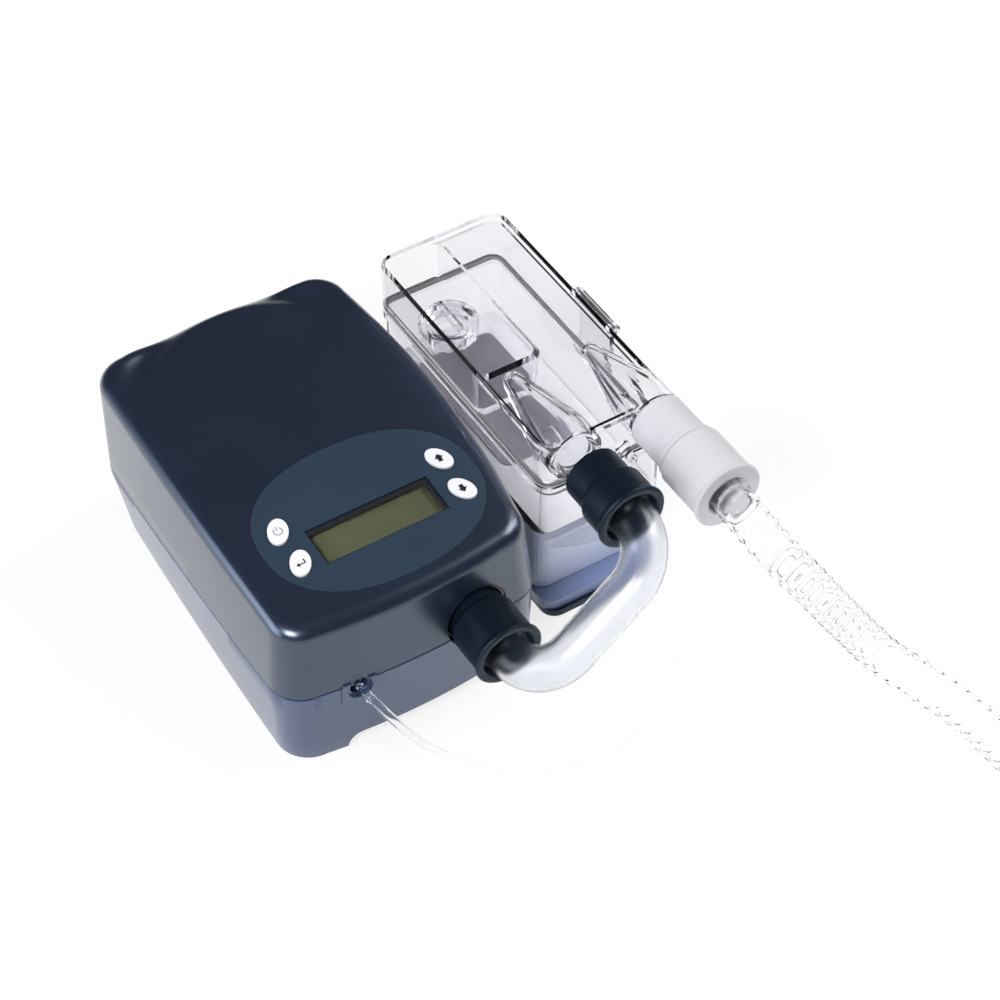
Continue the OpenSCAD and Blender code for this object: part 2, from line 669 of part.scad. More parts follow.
module humidifier_lid() color([0.85, 0.88, 0.92, 0.4]) place() {
    difference() {
        union() {
            hum_box(0, lid_low, lid_top, 9);
            difference() {
                hum_box(0, lid_top - eps, lid_top + rim_h, 9);
                hum_box(clear_wall, lid_top - 1, lid_top + 4, 7);
            }
            for (y = [latch_y0 - 3.3, latch_y0 + latch_l + 0.3]) {
                forward(latch_x, y + 3, latch_z) cylinder(r = 3, h = 3);
                box(hum_x1 - 1, y, latch_z - 3, latch_x, y + 3, latch_z + 3);
            }
        }
        difference() {
            hum_box(clear_wall, lid_low - 1, lid_top - clear_wall, 7);
            rounded_box(hum_x0 + 1, well_y0 - clear_wall, well_z - clear_wall, well_x1 + clear_wall,
                        hum_y1 - 1, lid_top + 1, 6);
        }
        rounded_box(hum_x0 + clear_wall, well_y0, well_z, well_x1, hum_y1 - clear_wall, lid_top + 9, 5);
        for (t = tips) duct(t[0], t[1], t[2], fit);
        latch_rod(pin_r + 0.02, 10);
        translate([cap_x, cap_y, well_z - 9]) cylinder(r = neck_r - 2, h = 30);
    }
    translate([cap_x, cap_y, well_z - eps]) difference() {
        cylinder(r = neck_r, h = neck_h);
        translate([0, 0, -1]) cylinder(r = neck_r - 2, h = neck_h + 2);
    }
}
module fill_cap() color([0.88, 0.9, 0.93, 0.6]) place() translate([cap_x, cap_y, well_z + 0.3])
    difference() {
        union() {
            cylinder(r = cap_d / 2 - 1, h = cap_h);
            translate([0, 0, cap_h - 3]) cylinder(r = cap_d / 2, h = 2);
            for (a = [0 : 30 : 330]) rotate([0, 0, a])
                translate([cap_d / 2 - 1.2, -1, 0]) cube([1, 2, cap_h - 2]);
            translate([-1.5, -cap_d / 2 + 4, cap_h - eps]) cube([3, cap_d - 8, 3]);
        }
        translate([0, 0, -1]) cylinder(r = neck_r + 0.4, h = neck_h + 1.4);
    }
module lid_latch() color([0.87, 0.89, 0.93, 0.6]) place() {
    difference() {
        union() {
            latch_rod(3, 0);
            box(latch_x + 0.6, latch_y0, tub_top - 10, latch_x + 3, latch_y0 + latch_l, latch_z);
            box(hum_x1 - 1, latch_y0 + 2, tub_top - 7.4, latch_x + 1, latch_y0 + latch_l - 2, tub_top - 4.6);
            box(latch_x + 2.9, latch_y0 + 4, tub_top - 14, latch_x + 5, latch_y0 + latch_l - 4, tub_top - 6);
        }
        latch_rod(pin_r + run, 1);
    }
}
module latch_pin() color([0.2, 0.2, 0.22]) place() latch_rod(pin_r, 3.3);

// Joining tube: one plane holds both mouths, straight ends, two bends and a straight between
rise = duct_h - outlet_h;
span = inlet_x - outlet_x;
chord = norm([span, rise]);
tilt = atan2(rise, span);
tube_in = 12;
tube_r = tube_od / 2;
module ring_of(r, w) difference() { circle(r = r); circle(r = r - w); }
module tube_end(from, to) {
    translate([0, from, 0]) rotate([90, 0, 0]) linear_extrude(height = from - to) ring_of(tube_r, tube_wall);
}
module tube_bend(x, turn) {
    translate([x, -lead, 0]) rotate([0, 0, turn])
        rotate_extrude(angle = 90) translate([bend_r, 0]) ring_of(tube_r, tube_wall);
}
module joining_tube() color([0.85, 0.88, 0.92, 0.4]) place()
    translate([outlet_x, 0, outlet_h]) rotate([0, -tilt, 0]) {
        tube_end(mouth_y + tube_in, -lead);
        tube_bend(bend_r, 180);
        translate([bend_r, -lead - bend_r, 0]) rotate([90, 0, 90])
            linear_extrude(height = chord - 2 * bend_r) ring_of(tube_r, tube_wall);
        tube_bend(chord - bend_r, 270);
        translate([chord, 0, 0]) tube_end(mouth_y + tube_in, -lead);
    }

// Pressure nipple: a short elbow on the lid's front wall
nipple_x = hum_x0 + 44;
nipple_z = tub_top + 8;
module pressure_nipple() color([0.85, 0.88, 0.92, 0.5]) place() difference() {
    union() {
        forward(nipple_x, hum_y0 - fit, nipple_z) cylinder(r = 4, h = 2);
        forward(nipple_x, hum_y0 - 1, nipple_z) cylinder(r = 2.4, h = 8);
        translate([nipple_x, hum_y0 - 9, nipple_z]) sphere(r = 2.4, $fn = 24);
        translate([nipple_x, hum_y0 - 9, nipple_z - 12]) cylinder(r = line_od / 2 - 0.9, h = 12);
    }
    translate([nipple_x, hum_y0 - 9, nipple_z - 13]) cylinder(r = 0.8, h = 13);
}

// Free tubes: routes chosen by hand in the working layout, then swept
function unit(v) = v / norm(v);
function spline_point(a, b, c, d, t) =
    0.5 * (2 * b + (c - a) * t + (2 * a - 5 * b + 4 * c - d) * t * t + (3 * b - a - 3 * c + d) * t * t * t);
function spline(pts, step) = concat(
    [for (i = [0 : len(pts) - 2])
        let (b = pts[i], c = pts[i + 1], a = i == 0 ? 2 * b - c : pts[i - 1],
             d = i == len(pts) - 2 ? 2 * c - b : pts[i + 2], n = max(1, round(norm(c - b) / step)))
        for (k = [0 : n - 1]) spline_point(a, b, c, d, k / n)],
    [pts[len(pts) - 1]]);
function headings(path) = let (n = len(path))
    [for (i = [0 : n - 1]) unit(path[min(n - 1, i + 1)] - path[max(0, i - 1)])];
function sides_of(head, start) = let (n = len(head), first = unit(start - head[0] * (start * head[0])))
    [for (i = 0, u = first; i < n; i = i + 1,
          u = i < n ? unit(u - head[i] * (u * head[i])) : u) u];
function sweep_rings(path, radii, n, start, head = undef) =
    let (h = is_undef(head) ? headings(path) : head, side = sides_of(h, start))
    [for (i = [0 : len(path) - 1]) let (v = cross(h[i], side[i]))
        [for (k = [0 : n - 1]) let (a = 360 * k / n)
            path[i] + radii[i] * (cos(a) * side[i] + sin(a) * v)]];
// A swept tube with a bore: outer rings, then the bore's rings back again, closed into one skin
module pipe(outer, inner) {
    n = len(outer[0]);
    rings = concat(outer, [for (i = [len(inner) - 1 : -1 : 0]) inner[i]]);
    m = len(rings);
    polyhedron([for (r = rings) each r],
        [for (k = [0 : m - 1], i = [0 : n - 1]) let (j = (i + 1) % n, l = (k + 1) % m)
            each [[k * n + i, l * n + i, l * n + j], [k * n + i, l * n + j, k * n + j]]]);
}
function path_length(path) =
    let (steps = [for (k = [1 : len(path) - 1]) norm(path[k] - path[k - 1])]) steps * [for (s = steps) 1];

line_r = line_od / 2;
line_z = 2.5;
line_points = [
    [port_x, -2.2, port_z], [port_x, -7, 41.4], [39.5, -12.5, 39], [43, -17, 33], [48, -21, 24.5],
    [54, -26, 16], [61, -30, 8], [68.5, -37, line_z], [76.5, -48, line_z], [85.5, -58, line_z],
    [96.5, -66, line_z], [113.5, -71, line_z], [131.5, -73, line_z], [149.5, -69, line_z],
    [167.5, -60, line_z], [184.5, -45, line_z], [195, -30, line_z],
    [200.5, -17, 4], [200.5, -6, 13], [199, 2, 30], [nipple_x + 2, 7, 49],
    [nipple_x, hum_y0 - 9, 67], [nipple_x, hum_y0 - 9, nipple_z - 12]];
module pressure_tube() color([0.8, 0.85, 0.9, 0.5]) place() {
    path = spline(line_points, 7);
    rings = sweep_rings(path, [for (p = path) line_r], 8, [1, 0, 0]);
    skin(rings);
}

hose_r = hose_od / 2;
hose_z = hose_r + 0.2;
rib_deep = 1.5;
coil_x = 164.5;
coil_y = -428;
coil_r = 119.5;
coil_step = hose_od + 1;
hose_points = [
    [hose_x, cuff_front + 14, duct_h], [hose_x, cuff_front, duct_h],
    [hose_x, cuff_front - 16, duct_h - 0.4], [218, -77, 96], [229, -87, 79],
    [241, -94, 59], [253.5, -99, 39], [265, -107, 22], [275.5, -120, 12.5], [282, -139, hose_z],
    [285, -168, hose_z], [285.5, -205, hose_z], [285, -240, hose_z], [285, -280, hose_z],
    [284, -330, hose_z], [284, -380, hose_z], [coil_x + coil_r, coil_y, hose_z]];
bore_r = hose_r - rib_deep - 1;
function half(list) = concat([for (i = [0 : 2 : len(list) - 2]) list[i]], [list[len(list) - 1]]);
module ribbed(path, start, plain = 0) {
    head = headings(path);
    low = hose_r - rib_deep;
    radii = concat([for (i = [0 : len(path) - 2]) i < plain ? spigot_r + 0.1 : i % 2 == 0 ? low : hose_r],
                   [low]);
    side_path = half(path);
    pipe(sweep_rings(path, radii, 8, start, head),
         sweep_rings(side_path, [for (p = side_path) bore_r], 8, start, half(head)));
}
module breathing_hose() color([0.85, 0.88, 0.92, 0.5]) place()
    ribbed(spline(hose_points, rib_pitch / 2), [1, 0, 0], 4);

// The coil: a turn that spirals inwards, half a turn that climbs on top of it where the spiral
// reverses, and a stretch that spirals outwards there and lifts a little to carry the cuff
coil_ribs = 97;
climb_from = 360;
climb_to = 540;
coil_end = 738;
cuff_lift = 2.6;
function coil_at(a) =
    let (r = coil_r - coil_step * (a < (climb_from + climb_to) / 2 ? a : climb_from + climb_to - a) / 360)
    [coil_x + r * cos(a), coil_y - r * sin(a),
     hose_z + coil_step * ease((a - climb_from) / (climb_to - climb_from))
         + cuff_lift * ease((a - climb_to) / (coil_end - climb_to))];
coil_turned = [for (k = [0 : 2 * coil_ribs - 1]) coil_at(coil_end * k / (2 * coil_ribs - 1))];
coil_last = coil_turned[len(coil_turned) - 1];
tail_dir = unit([coil_last[0], coil_last[1], 0] - [coil_turned[len(coil_turned) - 2][0],
                                                  coil_turned[len(coil_turned) - 2][1], 0]);
tail_end = coil_last + tail_dir * hose_od;
coil_path = concat(coil_turned, [tail_end]);
coil_gap = min([for (i = [0 : 3 : len(coil_path) - 1], j = [i + 60 : 3 : len(coil_path) - 1])
    norm(coil_path[i] - coil_path[j])]) - hose_od;
echo(least_gap_in_coil = coil_gap);
echo(hose_length = path_length(spline(hose_points, rib_pitch / 2)) + path_length(coil_path));
echo(line_length = path_length(spline(line_points, 7)));
module hose_coil() color([0.85, 0.88, 0.92, 0.5]) place() ribbed(coil_path, [0, 0, 1]);

// The hose's far end: a soft cuff that takes a mask's swivel
mask_cuff_l = 42;
mask_cuff_r = 13.5;
module mask_cuff() color([0.93, 0.94, 0.95]) place()
    translate(tail_end) rotate([90, 0, atan2(tail_dir[0], -tail_dir[1])]) {
        difference() {
            union() {
                cylinder(r = mask_cuff_r - 1.5, h = mask_cuff_l);
                translate([0, 0, 6]) cylinder(r = mask_cuff_r, h = mask_cuff_l - 9);
            }
            translate([0, 0, -1]) cylinder(r = 8.5, h = mask_cuff_l + 2);
            translate([0, 0, mask_cuff_l - 22]) cylinder(r = 11, h = 30);
        }
    }

upper_case();
lower_case();
control_panel();
display_window();
display_module();
power_button();
enter_button();
up_button();
down_button();
button_board();
outlet_port();
outlet_cuff();
pressure_port();
blower_housing();
impeller();
motor_shaft();
blower_motor();
blower_mounts();
outlet_duct();
main_board();
inlet_muffler();
air_filter();
filter_cover();
power_inlet();
case_feet();
case_screws();
humidifier_base();
humidifier_foot();
heater_plate();
water_tub();
tub_plate();
lid_seal();
humidifier_lid();
lid_ducts();
fill_cap();
lid_latch();
latch_pin();
inlet_cuff();
joining_tube();
hose_cuff();
pressure_nipple();
pressure_tube();
breathing_hose();
hose_coil();
mask_cuff();
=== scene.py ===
import json
import math

import bpy
import bmesh
from mathutils import Matrix, Vector


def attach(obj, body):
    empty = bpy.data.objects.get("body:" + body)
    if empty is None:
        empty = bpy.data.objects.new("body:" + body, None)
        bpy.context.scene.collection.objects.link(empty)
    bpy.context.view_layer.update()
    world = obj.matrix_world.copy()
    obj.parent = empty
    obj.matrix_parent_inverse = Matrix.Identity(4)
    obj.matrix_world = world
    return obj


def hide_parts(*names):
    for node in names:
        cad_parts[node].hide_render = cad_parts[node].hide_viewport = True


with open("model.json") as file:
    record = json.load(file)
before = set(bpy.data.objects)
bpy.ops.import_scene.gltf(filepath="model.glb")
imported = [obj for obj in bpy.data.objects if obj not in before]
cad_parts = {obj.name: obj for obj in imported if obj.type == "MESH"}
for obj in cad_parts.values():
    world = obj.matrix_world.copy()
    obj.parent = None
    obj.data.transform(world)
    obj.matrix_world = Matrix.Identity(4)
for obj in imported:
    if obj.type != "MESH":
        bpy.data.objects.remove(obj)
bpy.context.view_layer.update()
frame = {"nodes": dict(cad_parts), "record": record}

# Sizes in millimetres, in the working layout: the case's front left corner is at x 0, y 0
MM = 0.001
ORIGIN = (115.919, 69.25)
CASE_W, CASE_D = 142.0, 200.0
FRONT_H, TOP_SLOPE = 86.0, 0.08
SLOPE_ANGLE = math.atan(TOP_SLOPE)
PART_H, PART_FALL = 45.0, 0.04
CORNER_R, EDGE_R = 18.0, 7.0
DRAFT, SIDE_BOW, END_BOW, WALL = 3.5, 1.0, 4.0, 2.6
PINCH, BASE_PINCH = 4.0, 8.0
SCOOP_DEPTH, TONGUE_R = 3.5, 58.0
TONGUE_X, TONGUE_Y = CASE_W / 2 + 2, CASE_D - 67
GROOVE_W, GROOVE_A, GROOVE_FADE = 22.0, 30.0, 35.0
PANEL_X, PANEL_Y = CASE_W / 2 + 5.5, 52.5
PANEL_W, PANEL_L, PANEL_T = 114.0, 84.0, 0.8
LCD_W, LCD_L, LCD_Y = 66.0, 22.0, 45.0
BUTTON_OFF, BUTTON_REAR, BUTTON_FRONT = 43.7, 61.5, 40.5
BUTTON_SPLAY = math.radians(28)
BUTTON_W, BUTTON_L, BUTTON_PROUD = 10.0, 15.0, 1.0
HUM_X0, HUM_X1 = 150.5, 222.5
HUM_Y0, HUM_Y1 = 17.0, 171.0
DUCT_H = 106.0
HOSE_X = HUM_X1 - 9
CUFF_FRONT = HUM_Y0 - 59
NIPPLE_X, NIPPLE_Y, NIPPLE_Z = HUM_X0 + 44, HUM_Y0 - 9, 97.0
PORT_X, PORT_Z = 37.5, PART_H - 3.5


def at(x, y, z):
    """A point of the working layout, in metres in the part's frame."""
    return Vector(((x - ORIGIN[0]) * MM, (y - ORIGIN[1]) * MM, z * MM))


# Camera
CAM_AZIMUTH, CAM_ELEVATION = math.radians(-32.3), math.radians(47.6)
CAM_DISTANCE = 1.394
CAM_TARGET = at(153.0, 59.2, 45.0)
CAM_LENS = 102.6
back = Vector((math.sin(CAM_AZIMUTH) * math.cos(CAM_ELEVATION),
               -math.cos(CAM_AZIMUTH) * math.cos(CAM_ELEVATION), math.sin(CAM_ELEVATION)))
cam_data = bpy.data.cameras.new("photo_camera")
cam_data.lens = CAM_LENS
cam_data.sensor_width = 36.0
cam = bpy.data.objects.new("photo_camera", cam_data)
bpy.context.collection.objects.link(cam)
cam.location = CAM_TARGET + back * CAM_DISTANCE
cam.rotation_mode = "QUATERNION"
cam.rotation_quaternion = (-back).to_track_quat("-Z", "Y")
bpy.context.scene.camera = cam


# Materials
GRAIN_DETAIL = 3.0
LAMP_SHARE = 0.9
COAT_ROUGH = 0.25
SHADE_SPREAD = 0.04
ROUGH_SPREAD = 0.03


def node_of(nodes, kind, **values):
    n = nodes.new(kind)
    for name, value in values.items():
        setattr(n, name, value)
    return n


def new_material(name, color, roughness, metallic=0.0, specular=0.5, coat=0.0, coat_rough=0.1,
                 transmission=0.0, ior=1.5, tint=(1.0, 1.0, 1.0)):
    """A plain shader with the given numbers on its own sockets."""
    m = bpy.data.materials.new(name)
    m.use_nodes = True
    p = m.node_tree.nodes["Principled BSDF"]
    p.inputs["Base Color"].default_value = (*color, 1.0)
    p.inputs["Roughness"].default_value = roughness
    p.inputs["Metallic"].default_value = metallic
    p.inputs["Specular IOR Level"].default_value = specular
    p.inputs["Coat Weight"].default_value = coat
    p.inputs["Coat Roughness"].default_value = coat_rough
    p.inputs["Transmission Weight"].default_value = transmission
    p.inputs["IOR"].default_value = ior
    p.inputs["Specular Tint"].default_value = (*tint, 1.0)
    return m


def grain(m, scale, strength, distance=0.0001):
    """A fine bump from noise in the object's own space, as a spark-eroded mould leaves."""
    nodes, links = m.node_tree.nodes, m.node_tree.links
    p = nodes["Principled BSDF"]
    where = nodes.new("ShaderNodeTexCoord")
    noise = nodes.new("ShaderNodeTexNoise")
    noise.inputs["Scale"].default_value = scale
    noise.inputs["Detail"].default_value = GRAIN_DETAIL
    bump = nodes.new("ShaderNodeBump")
    bump.inputs["Strength"].default_value = strength
    bump.inputs["Distance"].default_value = distance
    links.new(where.outputs["Object"], noise.inputs["Vector"])
    links.new(noise.outputs["Fac"], bump.inputs["Height"])
    links.new(bump.outputs["Normal"], p.inputs["Normal"])


def mottle(m, low, high, scale):
    """Colour that drifts between two close shades over the surface."""
    nodes, links = m.node_tree.nodes, m.node_tree.links
    where = nodes.new("ShaderNodeTexCoord")
    noise = nodes.new("ShaderNodeTexNoise")
    noise.inputs["Scale"].default_value = scale
    ramp = nodes.new("ShaderNodeValToRGB")
    ramp.color_ramp.elements[0].position = 0.35
    ramp.color_ramp.elements[1].position = 0.65
    ramp.color_ramp.elements[0].color = (*low, 1.0)
    ramp.color_ramp.elements[1].color = (*high, 1.0)
    links.new(where.outputs["Object"], noise.inputs["Vector"])
    links.new(noise.outputs["Fac"], ramp.inputs["Fac"])
    links.new(ramp.outputs["Color"], nodes["Principled BSDF"].inputs["Base Color"])


def rough_drift(m, low, high, scale):
    """Roughness that drifts over the surface, as handling leaves it."""
    nodes, links = m.node_tree.nodes, m.node_tree.links
    where = nodes.new("ShaderNodeTexCoord")
    noise = nodes.new("ShaderNodeTexNoise")
    noise.inputs["Scale"].default_value = scale
    span = nodes.new("ShaderNodeMapRange")
    span.inputs["To Min"].default_value = low
    span.inputs["To Max"].default_value = high
    links.new(where.outputs["Object"], noise.inputs["Vector"])
    links.new(noise.outputs["Fac"], span.inputs["Value"])
    links.new(span.outputs["Result"], nodes["Principled BSDF"].inputs["Roughness"])


def let_lamps_through(m):
    """Lamps shine through clear plastic, so what is inside it is lit."""
    nodes, links = m.node_tree.nodes, m.node_tree.links
    out = nodes["Material Output"]
    path = nodes.new("ShaderNodeLightPath")
    clear = nodes.new("ShaderNodeBsdfTransparent")
    clear.inputs["Color"].default_value = (LAMP_SHARE, LAMP_SHARE, LAMP_SHARE, 1.0)
    mix = nodes.new("ShaderNodeMixShader")
    links.new(path.outputs["Is Shadow Ray"], mix.inputs[0])
    links.new(nodes["Principled BSDF"].outputs[0], mix.inputs[1])
    links.new(clear.outputs[0], mix.inputs[2])
    links.new(mix.outputs[0], out.inputs["Surface"])


def moulded(name, color, roughness, specular=0.5, coat=0.0, fine=0.12, tint=(1.0, 1.0, 1.0)):
    """An opaque moulded or soft material with slight drift in its shade and gloss."""
    m = new_material(name, color, roughness, specular=specular, coat=coat, coat_rough=COAT_ROUGH, tint=tint)
    mottle(m, [(1 - SHADE_SPREAD) * c for c in color], [(1 + SHADE_SPREAD) * c for c in color], 14.0)
    rough_drift(m, roughness - ROUGH_SPREAD, roughness + ROUGH_SPREAD, 30.0)
    grain(m, 2600.0, fine, 0.00004)
    return m


def clear_plastic(name, tint, roughness=0.03, ior=1.49):
    m = new_material(name, tint, roughness, transmission=1.0, ior=ior)
    rough_drift(m, roughness, roughness + ROUGH_SPREAD, 40.0)
    let_lamps_through(m)
    return m


def metal(name, color, roughness):
    m = new_material(name, color, roughness, metallic=1.0)
    rough_drift(m, roughness - 0.06, roughness + 0.06, 60.0)
    grain(m, 900.0, 0.05)
    return m


NAVY_GLOSS = (0.5, 0.7, 1.0)
BLACK_GLOSS = (0.5, 0.75, 1.0)
MATERIALS = {
    "navy_shell": moulded("navy_shell", (0.008, 0.012, 0.025), 0.3, specular=0.8, coat=0.8, tint=NAVY_GLOSS),
    "navy_base": moulded("navy_base", (0.026, 0.037, 0.085), 0.32, specular=0.8, coat=0.8, tint=NAVY_GLOSS),
    "panel_blue": moulded("panel_blue", (0.016, 0.031, 0.051), 0.4, specular=0.3, fine=0.05),
    "window": clear_plastic("window", (0.93, 0.95, 0.9)),
    "lcd": moulded("lcd", (0.05, 0.053, 0.03), 0.4, specular=0.2, fine=0.0),
    "button_white": moulded("button_white", (0.62, 0.62, 0.64), 0.4, fine=0.05),
    "board_green": moulded("board_green", (0.01, 0.12, 0.045), 0.35),
    "black_rubber": moulded("black_rubber", (0.003, 0.006, 0.012), 0.4, specular=0.35, fine=0.2,
                            tint=BLACK_GLOSS),
    "black_plastic": moulded("black_plastic", (0.010, 0.011, 0.015), 0.35),
    "grey_plastic": moulded("grey_plastic", (0.5, 0.51, 0.53), 0.45),
    "motor_metal": metal("motor_metal", (0.55, 0.56, 0.58), 0.4),
    "steel": metal("steel", (0.62, 0.62, 0.64), 0.28),
    "foam": moulded("foam", (0.03, 0.03, 0.034), 0.95, specular=0.1, fine=0.6),
    "filter_fibre": moulded("filter_fibre", (0.75, 0.76, 0.78), 0.95, specular=0.1, fine=0.6),
    "blue_base": moulded("blue_base", (0.1, 0.135, 0.25), 0.3, coat=0.3),
    "clear": clear_plastic("clear", (0.93, 0.922, 0.94), ior=1.18),
    "white_rubber": moulded("white_rubber", (0.49, 0.48, 0.5), 0.5, fine=0.08),
    "seal": clear_plastic("seal", (0.85, 0.85, 0.87), 0.35),
    "hose_clear": clear_plastic("hose_clear", (0.985, 0.985, 0.99), 0.05, ior=1.2),
    "tube_milky": clear_plastic("tube_milky", (0.93, 0.94, 0.97), 0.22, ior=1.25),
    "sign_grey": moulded("sign_grey", (0.2, 0.18, 0.19), 0.5),
    "plate_dark": metal("plate_dark", (0.5, 0.475, 0.55), 0.42),
    "frosted": clear_plastic("frosted", (0.82, 0.82, 0.85), 0.35, ior=1.2),
}


def shades_by_height(m, first, steps, top):
    """Colours that change at levels of the object's own height, from the lowest up."""
    nodes, links = m.node_tree.nodes, m.node_tree.links
    where = nodes.new("ShaderNodeTexCoord")
    split = nodes.new("ShaderNodeSeparateXYZ")
    span = nodes.new("ShaderNodeMapRange")
    span.inputs["From Max"].default_value = top
    ramp = nodes.new("ShaderNodeValToRGB")
    ramp.color_ramp.interpolation = "CONSTANT"
    ramp.color_ramp.elements[0].color = (*first, 1.0)
    for k, (level, color) in enumerate(steps):
        e = ramp.color_ramp.elements[1] if k == 0 else ramp.color_ramp.elements.new(level / top)
        e.position = level / top
        e.color = (*color, 1.0)
    links.new(where.outputs["Object"], split.inputs["Vector"])
    links.new(split.outputs["Z"], span.inputs["Value"])
    links.new(span.outputs["Result"], ramp.inputs["Fac"])
    links.new(ramp.outputs["Color"], nodes["Principled BSDF"].inputs["Base Color"])


# The humidifier's base: navy plinth, light blue body, pale top face
PLINTH_TOP, BASE_TOP, SHADES_END = 10.4, 50.7, 60.0
shades_by_height(MATERIALS["blue_base"], (0.12, 0.155, 0.28),
                 [(PLINTH_TOP * MM, (0.37, 0.41, 0.54)), (BASE_TOP * MM, (0.6, 0.59, 0.63))], SHADES_END * MM)

for sub in frame["record"]["subparts"]:
    o = frame["nodes"][sub["node"]]
    m = MATERIALS[sub["material_slot"]]
    if not o.material_slots:
        o.data.materials.append(m)
    for s in o.material_slots:
        s.link = "OBJECT"
        s.material = m

# The joining tube is milkier than the hoses
for s in frame["nodes"]["joining_tube"].material_slots:
    s.material = MATERIALS["tube_milky"]


# Mesh building
def ease(t):
    """A smooth step from 0 to 1."""
    t = min(1.0, max(0.0, t))
    return t * t * (3 - 2 * t)


def new_piece(name, bm, slot, body="main", smooth=True):
    """A piece from a bmesh in metres: it gets its slot's material and rides on its body."""
    mesh = bpy.data.meshes.new(name)
    bm.normal_update()
    bm.to_mesh(mesh)
    bm.free()
    if smooth:
        mesh.shade_smooth()
    o = bpy.data.objects.new(name, mesh)
    bpy.context.collection.objects.link(o)
    mesh.materials.append(MATERIALS[slot])
    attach(o, body)
    return o


def spline_point(a, b, c, d, t):
    """The point at t between b and c of the smooth curve through a, b, c and d."""
    return 0.5 * (2 * b + (c - a) * t + (2 * a - 5 * b + 4 * c - d) * t * t
                  + (3 * b - a - 3 * c + d) * t ** 3)


def spline(points, step):
    """The same smooth curve through chosen points that the part's source uses."""
    pts = [Vector(p) for p in points]
    out = []
    for i in range(len(pts) - 1):
        b, c = pts[i], pts[i + 1]
        a = 2 * b - c if i == 0 else pts[i - 1]
        d = 2 * c - b if i == len(pts) - 2 else pts[i + 2]
        n = max(1, round((c - b).length / step))
        out += [spline_point(a, b, c, d, k / n) for k in range(n)]
    return out + [pts[-1]]


def even(path, step):
    """The path again with points at an even step."""
    marks = [0.0]
    for a, b in zip(path, path[1:]):
        marks.append(marks[-1] + (b - a).length)
    n = max(2, round(marks[-1] / step))
    out, k = [], 0
    for i in range(n + 1):
        s = marks[-1] * i / n
        while k < len(path) - 2 and marks[k + 1] < s:
            k += 1
        t = (s - marks[k]) / (marks[k + 1] - marks[k])
        out.append(path[k].lerp(path[k + 1], min(1.0, max(0.0, t))))
    return out


def frames_along(path, start):
    """Heading and two sides at each point, carried along without twist."""
    out, u = [], Vector(start)
    for i, p in enumerate(path):
        h = (path[min(i + 1, len(path) - 1)] - path[max(i - 1, 0)]).normalized()
        u = (u - h * u.dot(h)).normalized()
        out.append((p, u, h.cross(u)))
    return out


def turns(n):
    """The angles of n even steps round a circle."""
    return [2 * math.pi * k / n for k in range(n)]


def band(bm, a, b):
    """A band of faces between two rings of equal count."""
    for k in range(len(a)):
        j = (k + 1) % len(a)
        bm.faces.new((a[k], a[j], b[j], b[k]))


def tube(name, path, outer, inner, sides, slot):
    """A swept tube with a bore. outer(i, k) is the outside radius at ring i and side k."""
    bm = bmesh.new()
    placed = frames_along(path, (1, 0, 0))
    rings = []
    for i, (p, u, v) in enumerate(placed):
        rings.append([bm.verts.new(p + outer(i, k) * (math.cos(a) * u + math.sin(a) * v))
                      for k, a in enumerate(turns(sides))])
    rings += [[bm.verts.new(p + inner * (math.cos(a) * u + math.sin(a) * v)) for a in turns(sides)]
              for p, u, v in placed[::-1]]
    for a, b in zip(rings, rings[1:] + rings[:1]):
        band(bm, a, b)
    bmesh.ops.recalc_face_normals(bm, faces=bm.faces)
    return new_piece(name, bm, slot)


# Solids for the case shells and other finer forms, in millimetres of the working layout
def finish_mesh(bm):
    """A mesh in metres in the part's frame from a bmesh in layout millimetres."""
    for v in bm.verts:
        v.co = at(*v.co)
    bmesh.ops.recalc_face_normals(bm, faces=bm.faces)
    mesh = bpy.data.meshes.new("form")
    bm.to_mesh(mesh)
    bm.free()
    return mesh


def closed_rings(rings):
    """A closed skin over rings of equal count, the first and last filled."""
    bm = bmesh.new()
    rows = [[bm.verts.new(p) for p in ring] for ring in rings]
    for a, b in zip(rows, rows[1:]):
        band(bm, a, b)
    bm.faces.new(rows[0][::-1])
    bm.faces.new(rows[-1])
    return bm


def prism(points, z0, z1, place=None):
    """An upright prism; place is a matrix in millimetres that turns or moves it."""
    bm = closed_rings([[Vector((x, y, z0)) for x, y in points], [Vector((x, y, z1)) for x, y in points]])
    if place is not None:
        bm.transform(place)
    return bm


def circle(x, y, r, n=48):
    return [(x + r * math.cos(a), y + r * math.sin(a)) for a in turns(n)]


def corner(cx, cy, r, start, n):
    """A quarter circle in n steps from the start angle in degrees."""
    out = []
    for k in range(n + 1):
        a = math.radians(start + 90 * k / n)
        out.append((cx + r * math.cos(a), cy + r * math.sin(a)))
    return out


def rounded_rect(x0, y0, x1, y1, r, n=8):
    return (corner(x1 - r, y0 + r, r, -90, n) + corner(x1 - r, y1 - r, r, 0, n)
            + corner(x0 + r, y1 - r, r, 90, n) + corner(x0 + r, y0 + r, r, 180, n))


def rect(x0, y0, x1, y1):
    return [(x0, y0), (x1, y0), (x1, y1), (x0, y1)]


def oval(w, l, power=2.0, n=96):
    """An ellipse, or a squarer oval where the power is above 2."""
    out = []
    for a in turns(n):
        c, d = math.cos(a), math.sin(a)
        out.append((w / 2 * math.copysign(abs(c) ** (2 / power), c),
                    l / 2 * math.copysign(abs(d) ** (2 / power), d)))
    return out


ON_TOP = Matrix.Translation((0, 0, FRONT_H)) @ Matrix.Rotation(SLOPE_ANGLE, 4, "X")


def top_place(x, y, turn=0.0):
    return ON_TOP @ Matrix.Translation((x, y, 0)) @ Matrix.Rotation(turn, 4, "Z")


